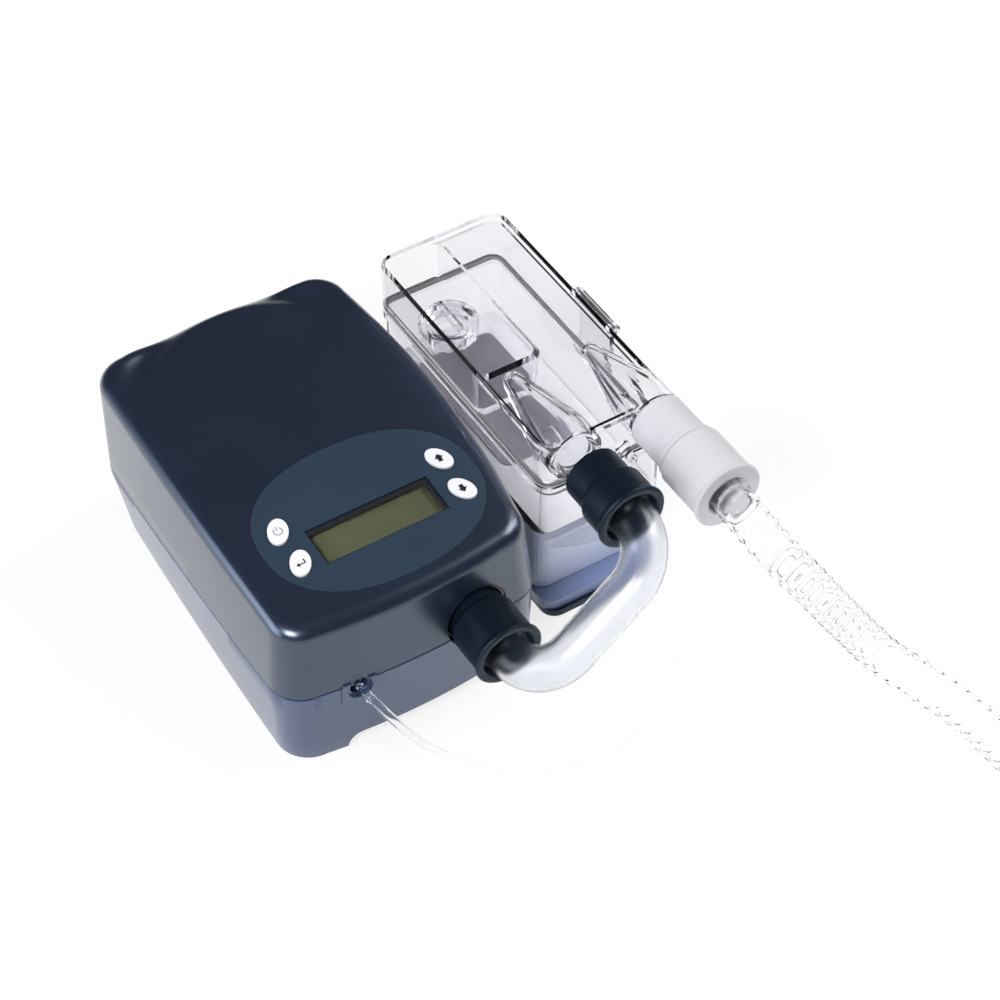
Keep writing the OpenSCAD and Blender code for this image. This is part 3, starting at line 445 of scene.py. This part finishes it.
def forward_place(x, y, z):
    """Turns a prism so that its height points along minus Y from a place."""
    return Matrix.Translation((x, y, z)) @ Matrix.Rotation(math.pi / 2, 4, "X")


def block(x0, y0, z0, x1, y1, z1):
    return prism(rect(x0, y0, x1, y1), z0, z1)


def scratch(bm):
    """A helper object for a cut or a union; carved() removes it."""
    o = bpy.data.objects.new("scratch", finish_mesh(bm))
    bpy.context.collection.objects.link(o)
    return o


def carved(base, steps):
    """The base solid after a row of unions and cuts, each a bmesh; all bmeshes are used up."""
    o = scratch(base)
    tools = []
    for operation, bm in steps:
        tool = scratch(bm)
        tools.append(tool)
        m = o.modifiers.new(operation, "BOOLEAN")
        m.operation = operation
        m.solver = "EXACT"
        m.object = tool
    bpy.context.view_layer.update()
    graph = bpy.context.evaluated_depsgraph_get()
    mesh = bpy.data.meshes.new_from_object(o.evaluated_get(graph))
    for used in [o] + tools:
        old = used.data
        bpy.data.objects.remove(used)
        bpy.data.meshes.remove(old)
    return mesh


def piece_of(name, mesh, slot, replaces=None, sharp=32.0):
    """A finished piece: smooth but for edges sharper than the angle in degrees."""
    mesh.name = name
    mesh.materials.clear()
    mesh.materials.append(MATERIALS[slot])
    mesh.shade_smooth()
    mesh.set_sharp_from_angle(angle=math.radians(sharp))
    o = bpy.data.objects.new(name, mesh)
    bpy.context.collection.objects.link(o)
    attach(o, "main")
    if replaces:
        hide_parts(*replaces)
    return o


# Case shells, finer than the solids that they stand for
CORNER_N, END_N, SIDE_N = 14, 60, 48
FILLET_N, TOP_N = 12, 60
TUCK = 0.35
TOP_BOW_RIGHT, PART_BOW_RIGHT = 6.0, 3.0


def between(p, q, n, push):
    """The points inside a side from p to q that bows by the push at its middle."""
    out = []
    for k in range(1, n):
        t = k / n
        out.append((p[0] + (q[0] - p[0]) * t + push[0] * 4 * t * (1 - t),
                    p[1] + (q[1] - p[1]) * t + push[1] * 4 * t * (1 - t)))
    return out


def outline(inset, r, bow, right=0.0, end_inset=0.0, side_inset=0.0):
    """The case's plan: bowed sides between round corners. right is the right side's further bow."""
    x0, x1 = inset + side_inset, CASE_W - inset - side_inset
    y0, y1 = inset, CASE_D - inset - end_inset
    return (corner(x1 - r, y0 + r, r, -90, CORNER_N)
            + between((x1, y0 + r), (x1, y1 - r), SIDE_N, (bow + right, 0))
            + corner(x1 - r, y1 - r, r, 0, CORNER_N)
            + between((x1 - r, y1), (x0 + r, y1), END_N, (0, END_BOW))
            + corner(x0 + r, y1 - r, r, 90, CORNER_N)
            + between((x0, y1 - r), (x0, y0 + r), SIDE_N, (-bow, 0))
            + corner(x0 + r, y0 + r, r, 180, CORNER_N)
            + between((x0 + r, y0), (x1 - r, y0), END_N, (0, -END_BOW)))


def narrowed(points, rear):
    """The plan narrowed in step with the distance from the front, by rear on each side at the back."""
    cx = CASE_W / 2
    return [(cx + (x - cx) * (1 - rear * y / CASE_D / cx), y) for x, y in points]


def scoop(x, y):
    """Depth of the two finger scoops: a groove round the raised tongue that fades to the sides."""
    dx, dy = abs(x - TONGUE_X), y - TONGUE_Y
    u = math.hypot(dx, dy) - TONGUE_R
    if dy < 0 or u < 0 or u > GROOVE_W:
        return 0.0
    fade = 1 - ease((math.degrees(math.atan2(dx, dy)) - GROOVE_A) / GROOVE_FADE)
    return SCOOP_DEPTH * math.sin(math.pi * u / GROOVE_W) ** 2 * fade


def top_z(x, y):
    return FRONT_H + TOP_SLOPE * y - scoop(x, y)


def part_z(y):
    return PART_H - PART_FALL * y


def upper_ring(inset, drop):
    """The plan at an inset from the walls, laid on the top and lowered by the drop."""
    pts = outline(inset, max(2.0, CORNER_R - inset / 2), SIDE_BOW, right=TOP_BOW_RIGHT)
    return [Vector((x, y, top_z(x, y) - drop)) for x, y in pts]


def part_ring(inset):
    """The plan at the parting line."""
    pts = narrowed(outline(inset, CORNER_R - inset, SIDE_BOW, right=PART_BOW_RIGHT), PINCH)
    return [Vector((x, y, part_z(y))) for x, y in pts]


def upper_skin():
    """The upper case's outside: walls, rounded edge and top, with a small tuck at the parting line."""
    foot, first, tucked = part_ring(0.0), upper_ring(DRAFT, EDGE_R), part_ring(TUCK)
    lip = [a.lerp(b, 0.012) for a, b in zip(foot, first)]
    walls = [[a.lerp(b, t) for a, b in zip(foot, first)] for t in (0.2, 0.4, 0.6, 0.8, 0.95)]
    fillet = []
    for k in range(FILLET_N + 1):
        a = math.pi / 2 * k / FILLET_N
        fillet.append(upper_ring(DRAFT + EDGE_R * (1 - math.cos(a)), EDGE_R * (1 - math.sin(a))))
    cx, cy = CASE_W / 2, CASE_D / 2
    top = []
    for k in range(1, TOP_N):
        t = 1 - k / TOP_N
        spots = [(cx + (p.x - cx) * t, cy + (p.y - cy) * t) for p in fillet[-1]]
        top.append([Vector((x, y, top_z(x, y))) for x, y in spots])
    return closed_rings([tucked, lip] + walls + fillet + top)


FIT, LOOSE = 0.15, 0.35
CAVITY_IN = DRAFT + WALL
SCOOP_ROOM_FROM, SCOOP_ROOM_TO = CASE_D - 66, CASE_D - 36
POSTS = [(x, y) for x in (15, CASE_W - 15) for y in (19, CASE_D - 30)]
POST_TOP = 35.0
UPPER_POST_R, LOWER_POST_R, PILOT_R, PILOT_DEEP = 4.5, 5.0, 1.56, 16.0
SCREW_HOLE_R, SCREW_HEAD_R, SCREW_HEAD_DEEP = 1.8, 3.6, 3.0
PILLARS = [(PANEL_X + x, y) for x in (-49, 49) for y in (31, 71)]
PILLAR_R, PILLAR_L = 2.4, 7.8
OUTLET_X, OUTLET_Z, OUTLET_R = 102.0, 51.0, 17.0
PORT_R = 6.0
FILTER_X0, FILTER_Z0, FILTER_X1, FILTER_Z1 = 20.0, 47.0, 68.0, 77.0
INLET_X0, INLET_Z0, INLET_X1, INLET_Z1 = 86.0, 12.0, 114.0, 28.0
PAST = 20.0


def cavity(y0, y1, drop):
    """Upright walls under a roof that follows the slope."""
    low = prism(rounded_rect(CAVITY_IN, y0, CASE_W - CAVITY_IN, y1, CORNER_R - 4), 0.0, 1.0)
    for v in low.verts:
        if v.co.z > 0.5:
            v.co.z = FRONT_H + TOP_SLOPE * v.co.y - (WALL + drop) / math.cos(SLOPE_ANGLE)
    return low


def key_holes():
    """The keys' holes through the panel's recess, splayed as the keys are."""
    return [prism(oval(BUTTON_W + 2 * LOOSE, BUTTON_L + 2 * LOOSE), -12, 8,
                  top_place(PANEL_X + side * BUTTON_OFF, y, side * BUTTON_SPLAY))
            for side in (-1, 1) for y in (BUTTON_FRONT, BUTTON_REAR)]


def front_holes():
    """The holes of the air outlet and the pressure port, which both shells share."""
    return [prism(circle(0, 0, OUTLET_R + FIT), -PAST, PAST, forward_place(OUTLET_X, 0, OUTLET_Z)),
            prism(circle(0, 0, PORT_R + FIT), -PAST, PAST, forward_place(PORT_X, 0, PORT_Z))]


added = [prism(circle(x, y, UPPER_POST_R), POST_TOP + FIT, top_z(x, y) - WALL / 2) for x, y in POSTS]
added += [prism(circle(0, 0, PILLAR_R, 24), -WALL - PILLAR_L, -WALL / 2, top_place(x, y)) for x, y in PILLARS]
cut = [prism(circle(x, y, PILOT_R, 24), 0, POST_TOP + PILOT_DEEP) for x, y in POSTS]
cut.append(prism(oval(PANEL_W + 2 * FIT, PANEL_L + 2 * FIT, 2.3), -PANEL_T, 4.2, top_place(PANEL_X, PANEL_Y)))
cut.append(prism(rect(-LCD_W / 2, -LCD_L / 2, LCD_W / 2, LCD_L / 2), -12, 8, top_place(PANEL_X, LCD_Y)))
cut += key_holes() + front_holes()
cut.append(block(FILTER_X0 - LOOSE, CASE_D - PAST, FILTER_Z0 - LOOSE,
                 FILTER_X1 + LOOSE, CASE_D + PAST, FILTER_Z1 + LOOSE))
steps = [("DIFFERENCE", cavity(CAVITY_IN, SCOOP_ROOM_TO, 0)),
         ("DIFFERENCE", cavity(SCOOP_ROOM_FROM, CASE_D - CAVITY_IN, SCOOP_DEPTH + 2))]
steps += [("UNION", bm) for bm in added] + [("DIFFERENCE", bm) for bm in cut]
piece_of("upper_shell", carved(upper_skin(), steps), "navy_shell", ["upper_case"])


BASE_FLOOR, BASE_INSET, REAR_INSET, FOOT_RISE = 7.0, 1.5, 8.0, 8.0
EDGE_SOFT, EDGE_STEPS = 1.2, 4
ARCH_IN, ARCH_L, ARCH_STEPS = 38.0, 10 + BASE_INSET + WALL - 0.3, 8
BOARD_POSTS = [(x, y) for x in (14, 40) for y in (50, 140)]
BOARD_POST_R, BOARD_POST_H = 3.0, 5.0
PAN_IN, PAN_DEEP = 10.0, 4.0
VENTS, VENT_X, VENT_STEP, VENT_W, VENT_Y0, VENT_Y1 = 9, 54, 8, 4, 60, 100


def base_skin(t):
    """The lower case's outside (t 0) with softened edges, or its hollow (t is the wall)."""
    low = narrowed(outline(t, CORNER_R - t, SIDE_BOW, end_inset=REAR_INSET, side_inset=BASE_INSET),
                   BASE_PINCH)
    high = narrowed(outline(t, CORNER_R - t, SIDE_BOW, right=0 if t else PART_BOW_RIGHT), PINCH)
    foot = [Vector((x, y, BASE_FLOOR if t else 0.0)) for x, y in low]
    rim = [Vector((x, y, part_z(y) + (1.0 if t else -0.4))) for x, y in high]
    if t:
        return closed_rings([foot, rim])
    cx, cy = CASE_W / 2, (CASE_D - REAR_INSET) / 2

    def inward(p, d):
        v = Vector((cx - p.x, cy - p.y, 0)).normalized()
        return p + v * d
    rings = []
    for k in range(EDGE_STEPS + 1):
        a = math.pi / 2 * k / EDGE_STEPS
        lift = EDGE_SOFT * (1 - math.cos(a))
        rings.append([inward(p.lerp(q, lift / (q.z - p.z)), EDGE_SOFT * (1 - math.sin(a)))
                      for p, q in zip(foot, rim)])
    rings += [[p.lerp(q, s) for p, q in zip(foot, rim)] for s in (0.25, 0.5, 0.75)]
    rings.append([p.lerp(q, 0.99) for p, q in zip(foot, rim)])
    rings.append([inward(p, 0.3) for p in rim])
    return closed_rings(rings)


def arch_cut(y):
    """The arch under the front or rear wall, from y rearwards, between the standing corners."""
    half = [(ARCH_IN - FOOT_RISE, -1)]
    for k in range(ARCH_STEPS + 1):
        a = math.pi / 2 * k / ARCH_STEPS
        half.append((ARCH_IN - FOOT_RISE * math.cos(a), FOOT_RISE * math.sin(a)))
    whole = half + [(CASE_W - x, z) for x, z in half[::-1]]
    return prism(whole, -y - ARCH_L, -y, Matrix.Rotation(math.pi / 2, 4, "X"))


added = [prism(circle(x, y, LOWER_POST_R), BASE_FLOOR - 0.01, POST_TOP) for x, y in POSTS]
added += [prism(circle(x, y, BOARD_POST_R), BASE_FLOOR - 0.01, BASE_FLOOR + BOARD_POST_H)
          for x, y in BOARD_POSTS]
cut = []
for x, y in POSTS:
    cut.append(prism(circle(x, y, SCREW_HOLE_R, 24), -1, 60))
    cut.append(prism(circle(x, y, SCREW_HEAD_R), -1, BASE_FLOOR + SCREW_HEAD_DEEP))
cut.append(prism(rounded_rect(PAN_IN, PAN_IN, CASE_W - PAN_IN, CASE_D - REAR_INSET - PAN_IN, 10),
                 -1, PAN_DEEP))
cut += [arch_cut(y) for y in (-10, CASE_D - REAR_INSET - WALL + 0.3)]
for k in range(VENTS):
    x = VENT_X + VENT_STEP * k
    cut.append(block(x, VENT_Y0, -1, x + VENT_W, VENT_Y1, 20))
cut += front_holes()
cut.append(block(INLET_X0 - FIT, CASE_D - 24, INLET_Z0 - FIT, INLET_X1 + FIT, CASE_D + PAST, INLET_Z1 + FIT))
steps = [("DIFFERENCE", base_skin(WALL))]
steps += [("UNION", bm) for bm in added] + [("DIFFERENCE", bm) for bm in cut]
piece_of("lower_shell", carved(base_skin(0), steps), "navy_base", ["lower_case"])


# Rubber cuffs with a thin lip round a wider mouth
MOUTH_Y = -30.0
SPIGOT_R, BODY_R, MOUTH_R, LIP_R = 11.15, 16.6, 13.6, 17.95
INLET_CUFF_Y, OUTLET_CUFF_Y = HUM_Y0 - 12.5, 8.0


def revolved(profile, place, n=72):
    """A ring from a closed profile of radius and height, turned about its axis and placed."""
    bm = bmesh.new()
    rows = [[bm.verts.new((r * math.cos(a), r * math.sin(a), h)) for a in turns(n)] for r, h in profile]
    for a, b in zip(rows, rows[1:] + rows[:1]):
        band(bm, a, b)
    bm.transform(place)
    return bm


def cuff(name, x, y, z, collar_l, collar_r, replaces):
    """A collar, a ridge, a fat body and a lip, from y forwards to the mouth."""
    end = y - MOUTH_Y
    collar = [(SPIGOT_R, 0), (collar_r - 0.8, 0), (collar_r - 0.2, 0.4), (collar_r, 1.2),
              (collar_r, collar_l - 3), (collar_r + 0.3, collar_l - 1.6), (collar_r + 0.9, collar_l - 0.6),
              (BODY_R - 0.3, collar_l + 0.1)]
    lip = [(BODY_R, collar_l + 1), (BODY_R, end - 5), (BODY_R + 0.2, end - 3.4), (LIP_R - 0.55, end - 2.4),
           (LIP_R, end - 1.6), (LIP_R, end - 0.8), (LIP_R - 0.55, end - 0.2), (BODY_R, end - 0.05)]
    mouth = [(MOUTH_R + 1, end - 0.05), (MOUTH_R + 0.3, end - 0.5), (MOUTH_R, end - 1.4),
             (MOUTH_R - 0.2, end - 7), (SPIGOT_R, end - 8)]
    form = revolved(collar + lip + mouth, forward_place(x, y, z))
    piece_of(name, finish_mesh(form), "black_rubber", [replaces], sharp=50)


cuff("inlet_cuff_form", HUM_X0 + 18, INLET_CUFF_Y, DUCT_H, 16.5, 14.5, "inlet_cuff")
cuff("outlet_cuff_form", OUTLET_X, OUTLET_CUFF_Y, OUTLET_Z, 14.0, 14.6, "outlet_cuff")


# Low surround of the pressure port, turned as the bowed front is there
SURROUND_TURN, SURROUND_T = math.radians(-5.5), 0.9
surround = (Matrix.Translation((PORT_X, -2.3, PORT_Z - 2)) @ Matrix.Rotation(SURROUND_TURN, 4, "Z")
            @ Matrix.Rotation(math.pi / 2, 4, "X"))
plate = prism(rounded_rect(-9.5, -6.5, 9.5, 6.8, 2), 0, SURROUND_T, surround)
port_hole = prism(circle(0, 2, PORT_R + 0.4), -3, 3, surround)
piece_of("port_surround", carved(plate, [("DIFFERENCE", port_hole)]), "navy_base")


# Display: a black frame round the lit area, partly a real thin bezel and partly painted shade: its wide rear
# and right bands stand for the shadow that the recess walls cast on the display
BEZEL_GAP, BEZEL_LOW, BEZEL_HIGH = 0.2, -2.5, -0.95
# The frame is thin on the front and left sides; its wider right and rear bands are painted shade from the
# recess walls
BEZEL_THIN, SHADE_BAND_RIGHT, SHADE_BAND_REAR = 1.0, 2.4, 2.8
lcd_place = top_place(PANEL_X, LCD_Y)
half_w, half_l = LCD_W / 2, LCD_L / 2
bezel_and_shade = prism(rect(-half_w + BEZEL_GAP, -half_l + BEZEL_GAP, half_w - BEZEL_GAP, half_l - BEZEL_GAP),
              BEZEL_LOW, BEZEL_HIGH, lcd_place)
lit = prism(rect(-half_w + BEZEL_THIN, -half_l + BEZEL_THIN, half_w - SHADE_BAND_RIGHT, half_l - SHADE_BAND_REAR),
            -5, 5, lcd_place)
piece_of("display_bezel_painted_shade", carved(bezel_and_shade, [("DIFFERENCE", lit)]), "black_plastic")


# Humidifier: the tub's light floor with its dark plate, and the tub's skirt over the base's front
TUB_FLOOR_Z, TUB_PLATE_Z, SHEET_T, TUB_IN = 54.1, 54.7, 0.5, 5.0
PLATE_X0, PLATE_Y0, PLATE_X1, PLATE_Y1 = 163, 68, 206, 153
SKIRT_IN, SKIRT_TOP, SKIRT_Z, SKIRT_DIP, SKIRT_N = 3.0, 51.4, 51.0, 14.0, 24
SKIRT_Y0, SKIRT_Y1 = HUM_Y0 + 0.6, HUM_Y0 + 2.6

plan = rounded_rect(HUM_X0 + TUB_IN, HUM_Y0 + TUB_IN, HUM_X1 - TUB_IN, HUM_Y1 - TUB_IN, 3)
piece_of("tub_floor", finish_mesh(prism(plan, TUB_FLOOR_Z, TUB_FLOOR_Z + SHEET_T)), "grey_plastic")
plan = rounded_rect(PLATE_X0, PLATE_Y0, PLATE_X1, PLATE_Y1, 5)
sheet = piece_of("tub_plate_face", finish_mesh(prism(plan, TUB_PLATE_Z, TUB_PLATE_Z + SHEET_T)), "steel",
                 ["tub_plate"])
sheet.data.materials[0] = MATERIALS["plate_dark"]

skirt = []
for k in range(SKIRT_N + 1):
    across = k / SKIRT_N
    skirt.append((HUM_X0 + SKIRT_IN + (HUM_X1 - HUM_X0 - 2 * SKIRT_IN) * across,
                  SKIRT_Z - SKIRT_DIP * (1 - (2 * across - 1) ** 2)))
skirt += [(HUM_X1 - SKIRT_IN, SKIRT_TOP), (HUM_X0 + SKIRT_IN, SKIRT_TOP)]
bm = closed_rings([[Vector((x, y, z)) for x, z in skirt] for y in (SKIRT_Y0, SKIRT_Y1)])
front = piece_of("tub_skirt", finish_mesh(bm), "clear")
front.data.materials[0] = MATERIALS["frosted"]

# Soft moulded edges on the tub and the lid
for name in ("water_tub", "humidifier_lid"):
    soft = frame["nodes"][name].modifiers.new("soft_edges", "BEVEL")
    soft.width = 0.6 * MM
    soft.segments = 2
    soft.limit_method = "ANGLE"
    soft.angle_limit = math.radians(40)


# Cords: the breathing hose with its coil, and the pressure tube
HOSE_OD, RIB_DEEP, RIB_PITCH = 21.0, 1.5, 7.0
HOSE_Z = HOSE_OD / 2 + 0.2
COIL_X, COIL_Y, COIL_R = 164.5, -428.0, 119.5
COIL_STEP = HOSE_OD + 1
CLIMB_FROM, CLIMB_TO, COIL_END, CUFF_LIFT = 360, 540, 738, 2.6
HOSE_POINTS = [
    (HOSE_X, CUFF_FRONT + 14, DUCT_H), (HOSE_X, CUFF_FRONT, DUCT_H),
    (HOSE_X, CUFF_FRONT - 16, DUCT_H - 0.4), (218, -77, 96), (229, -87, 79),
    (241, -94, 59), (253.5, -99, 39), (265, -107, 22), (275.5, -120, 12.5), (282, -139, HOSE_Z),
    (285, -168, HOSE_Z), (285.5, -205, HOSE_Z), (285, -240, HOSE_Z), (285, -280, HOSE_Z),
    (284, -330, HOSE_Z), (284, -380, HOSE_Z), (COIL_X + COIL_R, COIL_Y, HOSE_Z)]
LINE_OD, LINE_Z = 4.8, 2.5
LINE_TRIM, LINE_BORE_R = 0.16, 1.3
LINE_POINTS = [
    (PORT_X, -2.2, PORT_Z), (PORT_X, -7, 41.4), (39.5, -12.5, 39), (43, -17, 33), (48, -21, 24.5),
    (54, -26, 16), (61, -30, 8), (68.5, -37, LINE_Z), (76.5, -48, LINE_Z), (85.5, -58, LINE_Z),
    (96.5, -66, LINE_Z), (113.5, -71, LINE_Z), (131.5, -73, LINE_Z), (149.5, -69, LINE_Z),
    (167.5, -60, LINE_Z), (184.5, -45, LINE_Z), (195, -30, LINE_Z),
    (200.5, -17, 4), (200.5, -6, 13), (199, 2, 30), (NIPPLE_X + 2, 7, 49),
    (NIPPLE_X, NIPPLE_Y, 67), (NIPPLE_X, NIPPLE_Y, NIPPLE_Z - 12)]


def coil_points():
    """The hose's unseen length: one turn inwards, half a turn up, and half a turn outwards on top."""
    pts = []
    for a in range(0, COIL_END, 2):
        turn = math.radians(a)
        inward = a if a < (CLIMB_FROM + CLIMB_TO) / 2 else CLIMB_FROM + CLIMB_TO - a
        r = COIL_R - COIL_STEP * inward / 360
        z = (HOSE_Z + COIL_STEP * ease((a - CLIMB_FROM) / (CLIMB_TO - CLIMB_FROM))
             + CUFF_LIFT * ease((a - CLIMB_TO) / (COIL_END - CLIMB_TO)))
        pts.append(Vector((COIL_X + r * math.cos(turn), COIL_Y - r * math.sin(turn), z)))
    way = pts[-1] - pts[-2]
    way.z = 0
    pts.append(pts[-1] + way.normalized() * (HOSE_OD + 4))
    return pts


def layout_to_part(path):
    return [at(*p) for p in path]


hose_path = layout_to_part(even(spline(HOSE_POINTS, RIB_PITCH / 2)[:-1] + coil_points(), 1.0))
HOSE_SIDES = 24
PLAIN_END = 14
HOSE_WALL, HOSE_TRIM, RIB_HALF = 0.8, 0.5, 0.26


def hose_radius(i, k):
    """Ribs that wind round the hose as one screw, with plain ends under the cuffs."""
    low, high = HOSE_OD / 2 - RIB_DEEP, HOSE_OD / 2 - HOSE_TRIM
    if i < PLAIN_END or i > len(hose_path) - PLAIN_END:
        return low * MM
    turn = (i / RIB_PITCH - k / HOSE_SIDES) % 1.0
    near = abs(turn - 0.5) / RIB_HALF
    return (low + (high - low) * (max(0.0, 1 - near * near)) ** 0.5) * MM


hose = tube("breathing_hose_clear", hose_path, hose_radius, (HOSE_OD / 2 - RIB_DEEP - HOSE_WALL) * MM,
            HOSE_SIDES, "hose_clear")
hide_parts("breathing_hose", "hose_coil")

line_path = layout_to_part(even(spline(LINE_POINTS, 4), 2.0))
line = tube("pressure_tube_clear", line_path, lambda i, k: (LINE_OD / 2 - LINE_TRIM) * MM,
            LINE_BORE_R * MM, 16, "hose_clear")
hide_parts("pressure_tube")


# Key signs
def on_top(x, y):
    """The matrix, in metres, of a place on the sloping top: x and y in millimetres along it."""
    return (Matrix.Translation(at(0, 0, FRONT_H)) @ Matrix.Rotation(SLOPE_ANGLE, 4, "X")
            @ Matrix.Translation(Vector((x, y, 0)) * MM))


INK_LIFT, INK_T = 0.01, 0.08


def flat_signs(name, polygons, place, body):
    """Printed shapes as thin prisms that stand on a key's face."""
    bm = bmesh.new()
    for poly in polygons:
        low = [bm.verts.new(Vector((x, y, BUTTON_PROUD + INK_LIFT)) * MM) for x, y in poly]
        high = [bm.verts.new(Vector((x, y, BUTTON_PROUD + INK_T)) * MM) for x, y in poly]
        bm.faces.new(high)
        bm.faces.new(low[::-1])
        band(bm, low, high)
    bm.transform(place)
    return new_piece(name, bm, "black_plastic", body, smooth=False)


def arc_band(r0, r1, a0, a1, steps):
    """A band between two radii, as quads from angle a0 to a1 in degrees."""
    out = []
    for k in range(steps):
        a, b = (math.radians(a0 + (a1 - a0) * (k + j) / steps) for j in (0, 1))
        out.append([(r0 * math.cos(a), r0 * math.sin(a)), (r1 * math.cos(a), r1 * math.sin(a)),
                    (r1 * math.cos(b), r1 * math.sin(b)), (r0 * math.cos(b), r0 * math.sin(b))])
    return out


power = flat_signs("power_sign", arc_band(1.9, 2.4, 125, 415, 24) + [rect(-0.25, 0.6, 0.25, 2.9)],
                   on_top(PANEL_X - BUTTON_OFF, BUTTON_REAR), "power_button")
power.material_slots[0].material = MATERIALS["sign_grey"]
flat_signs("enter_sign", [[(-2.6, -0.9), (-0.9, 0.3), (-0.9, -2.1)], rect(-0.9, -1.2, 2.4, -0.6),
                          rect(1.8, -0.6, 2.4, 1.5)],
           on_top(PANEL_X - BUTTON_OFF, BUTTON_FRONT), "enter_button")
for side, name, y in ((1, "up", BUTTON_REAR), (-1, "down", BUTTON_FRONT)):
    head = [(-2.4, 0), (2.4, 0), (0, 2.6 * side)]
    stem = [(-1.1, -2.2 * side), (1.1, -2.2 * side), (1.1, 0), (-1.1, 0)]
    flat_signs(name + "_sign", [head[::side], stem[::side]], on_top(PANEL_X + BUTTON_OFF, y),
               name + "_button")


# Floor, world and lamps
def seen_or_mirrored(nodes, links):
    """1 for rays from the camera, off gloss or through glass, and 0 for the light that a surface gets."""
    path = nodes.new("ShaderNodeLightPath")
    first = node_of(nodes, "ShaderNodeMath", operation="MAXIMUM")
    second = node_of(nodes, "ShaderNodeMath", operation="MAXIMUM")
    links.new(path.outputs["Is Camera Ray"], first.inputs[0])
    links.new(path.outputs["Is Glossy Ray"], first.inputs[1])
    links.new(first.outputs[0], second.inputs[0])
    links.new(path.outputs["Is Transmission Ray"], second.inputs[1])
    return second.outputs[0]


FLOOR_SHADOW, FLOOR_SIZE, FLOOR_DROP = 0.25, 6.0, 0.0002
floor_mat = bpy.data.materials.new("floor_white")
floor_mat.use_nodes = True
nodes, links = floor_mat.node_tree.nodes, floor_mat.node_tree.links
nodes.clear()
out = nodes.new("ShaderNodeOutputMaterial")
diffuse = nodes.new("ShaderNodeBsdfDiffuse")
diffuse.inputs["Color"].default_value = (0.8, 0.8, 0.8, 1.0)
glow = nodes.new("ShaderNodeEmission")
glow.inputs["Strength"].default_value = 1.0
share = node_of(nodes, "ShaderNodeMath", operation="MULTIPLY")
share.inputs[1].default_value = 1 - FLOOR_SHADOW
mix = nodes.new("ShaderNodeMixShader")
links.new(seen_or_mirrored(nodes, links), share.inputs[0])
links.new(share.outputs[0], mix.inputs[0])
links.new(diffuse.outputs[0], mix.inputs[1])
links.new(glow.outputs[0], mix.inputs[2])
links.new(mix.outputs[0], out.inputs["Surface"])
bm = bmesh.new()
bmesh.ops.create_grid(bm, x_segments=1, y_segments=1, size=FLOOR_SIZE)
floor_mesh = bpy.data.meshes.new("floor")
bm.to_mesh(floor_mesh)
bm.free()
floor = bpy.data.objects.new("floor", floor_mesh)
floor.location.z = -FLOOR_DROP
bpy.context.collection.objects.link(floor)
floor_mesh.materials.append(floor_mat)

SKY_LIGHT, SKY_GLOSS = 0.42, 0.05
world = bpy.data.worlds.new("studio")
bpy.context.scene.world = world
world.use_nodes = True
nodes, links = world.node_tree.nodes, world.node_tree.links
sky = nodes["Background"]
sky.inputs["Color"].default_value = (0.95, 0.97, 1.0, 1.0)
way = nodes.new("ShaderNodeLightPath")
level = nodes.new("ShaderNodeMapRange")
level.inputs["To Min"].default_value = SKY_LIGHT
level.inputs["To Max"].default_value = SKY_GLOSS
links.new(way.outputs["Is Glossy Ray"], level.inputs["Value"])
links.new(level.outputs["Result"], sky.inputs["Strength"])


def lamp(name, azimuth, elevation, distance, size, power, color=(1, 1, 1)):
    """A square area lamp that looks at the object's middle. Azimuth 0 is in front of it, 90 on its left."""
    data = bpy.data.lights.new(name, "AREA")
    data.size = size
    data.energy = power
    data.color = color
    o = bpy.data.objects.new(name, data)
    a, e = math.radians(azimuth), math.radians(elevation)
    away = Vector((-math.sin(a) * math.cos(e), -math.cos(a) * math.cos(e), math.sin(e)))
    o.location = at(CASE_W, CASE_D / 2, 50) + away * distance
    o.rotation_mode = "QUATERNION"
    o.rotation_quaternion = away.to_track_quat("Z", "Y")
    bpy.context.collection.objects.link(o)


lamp("key_front_left", 56, 41, 1.6, 0.5, 22)
lamp("fill_rear_right", 274, 44, 1.8, 0.9, 24)
lamp("left_low", 100, 12, 1.5, 1.0, 17, (0.83, 0.88, 1.0))

bpy.context.scene.view_settings.view_transform = "Standard"
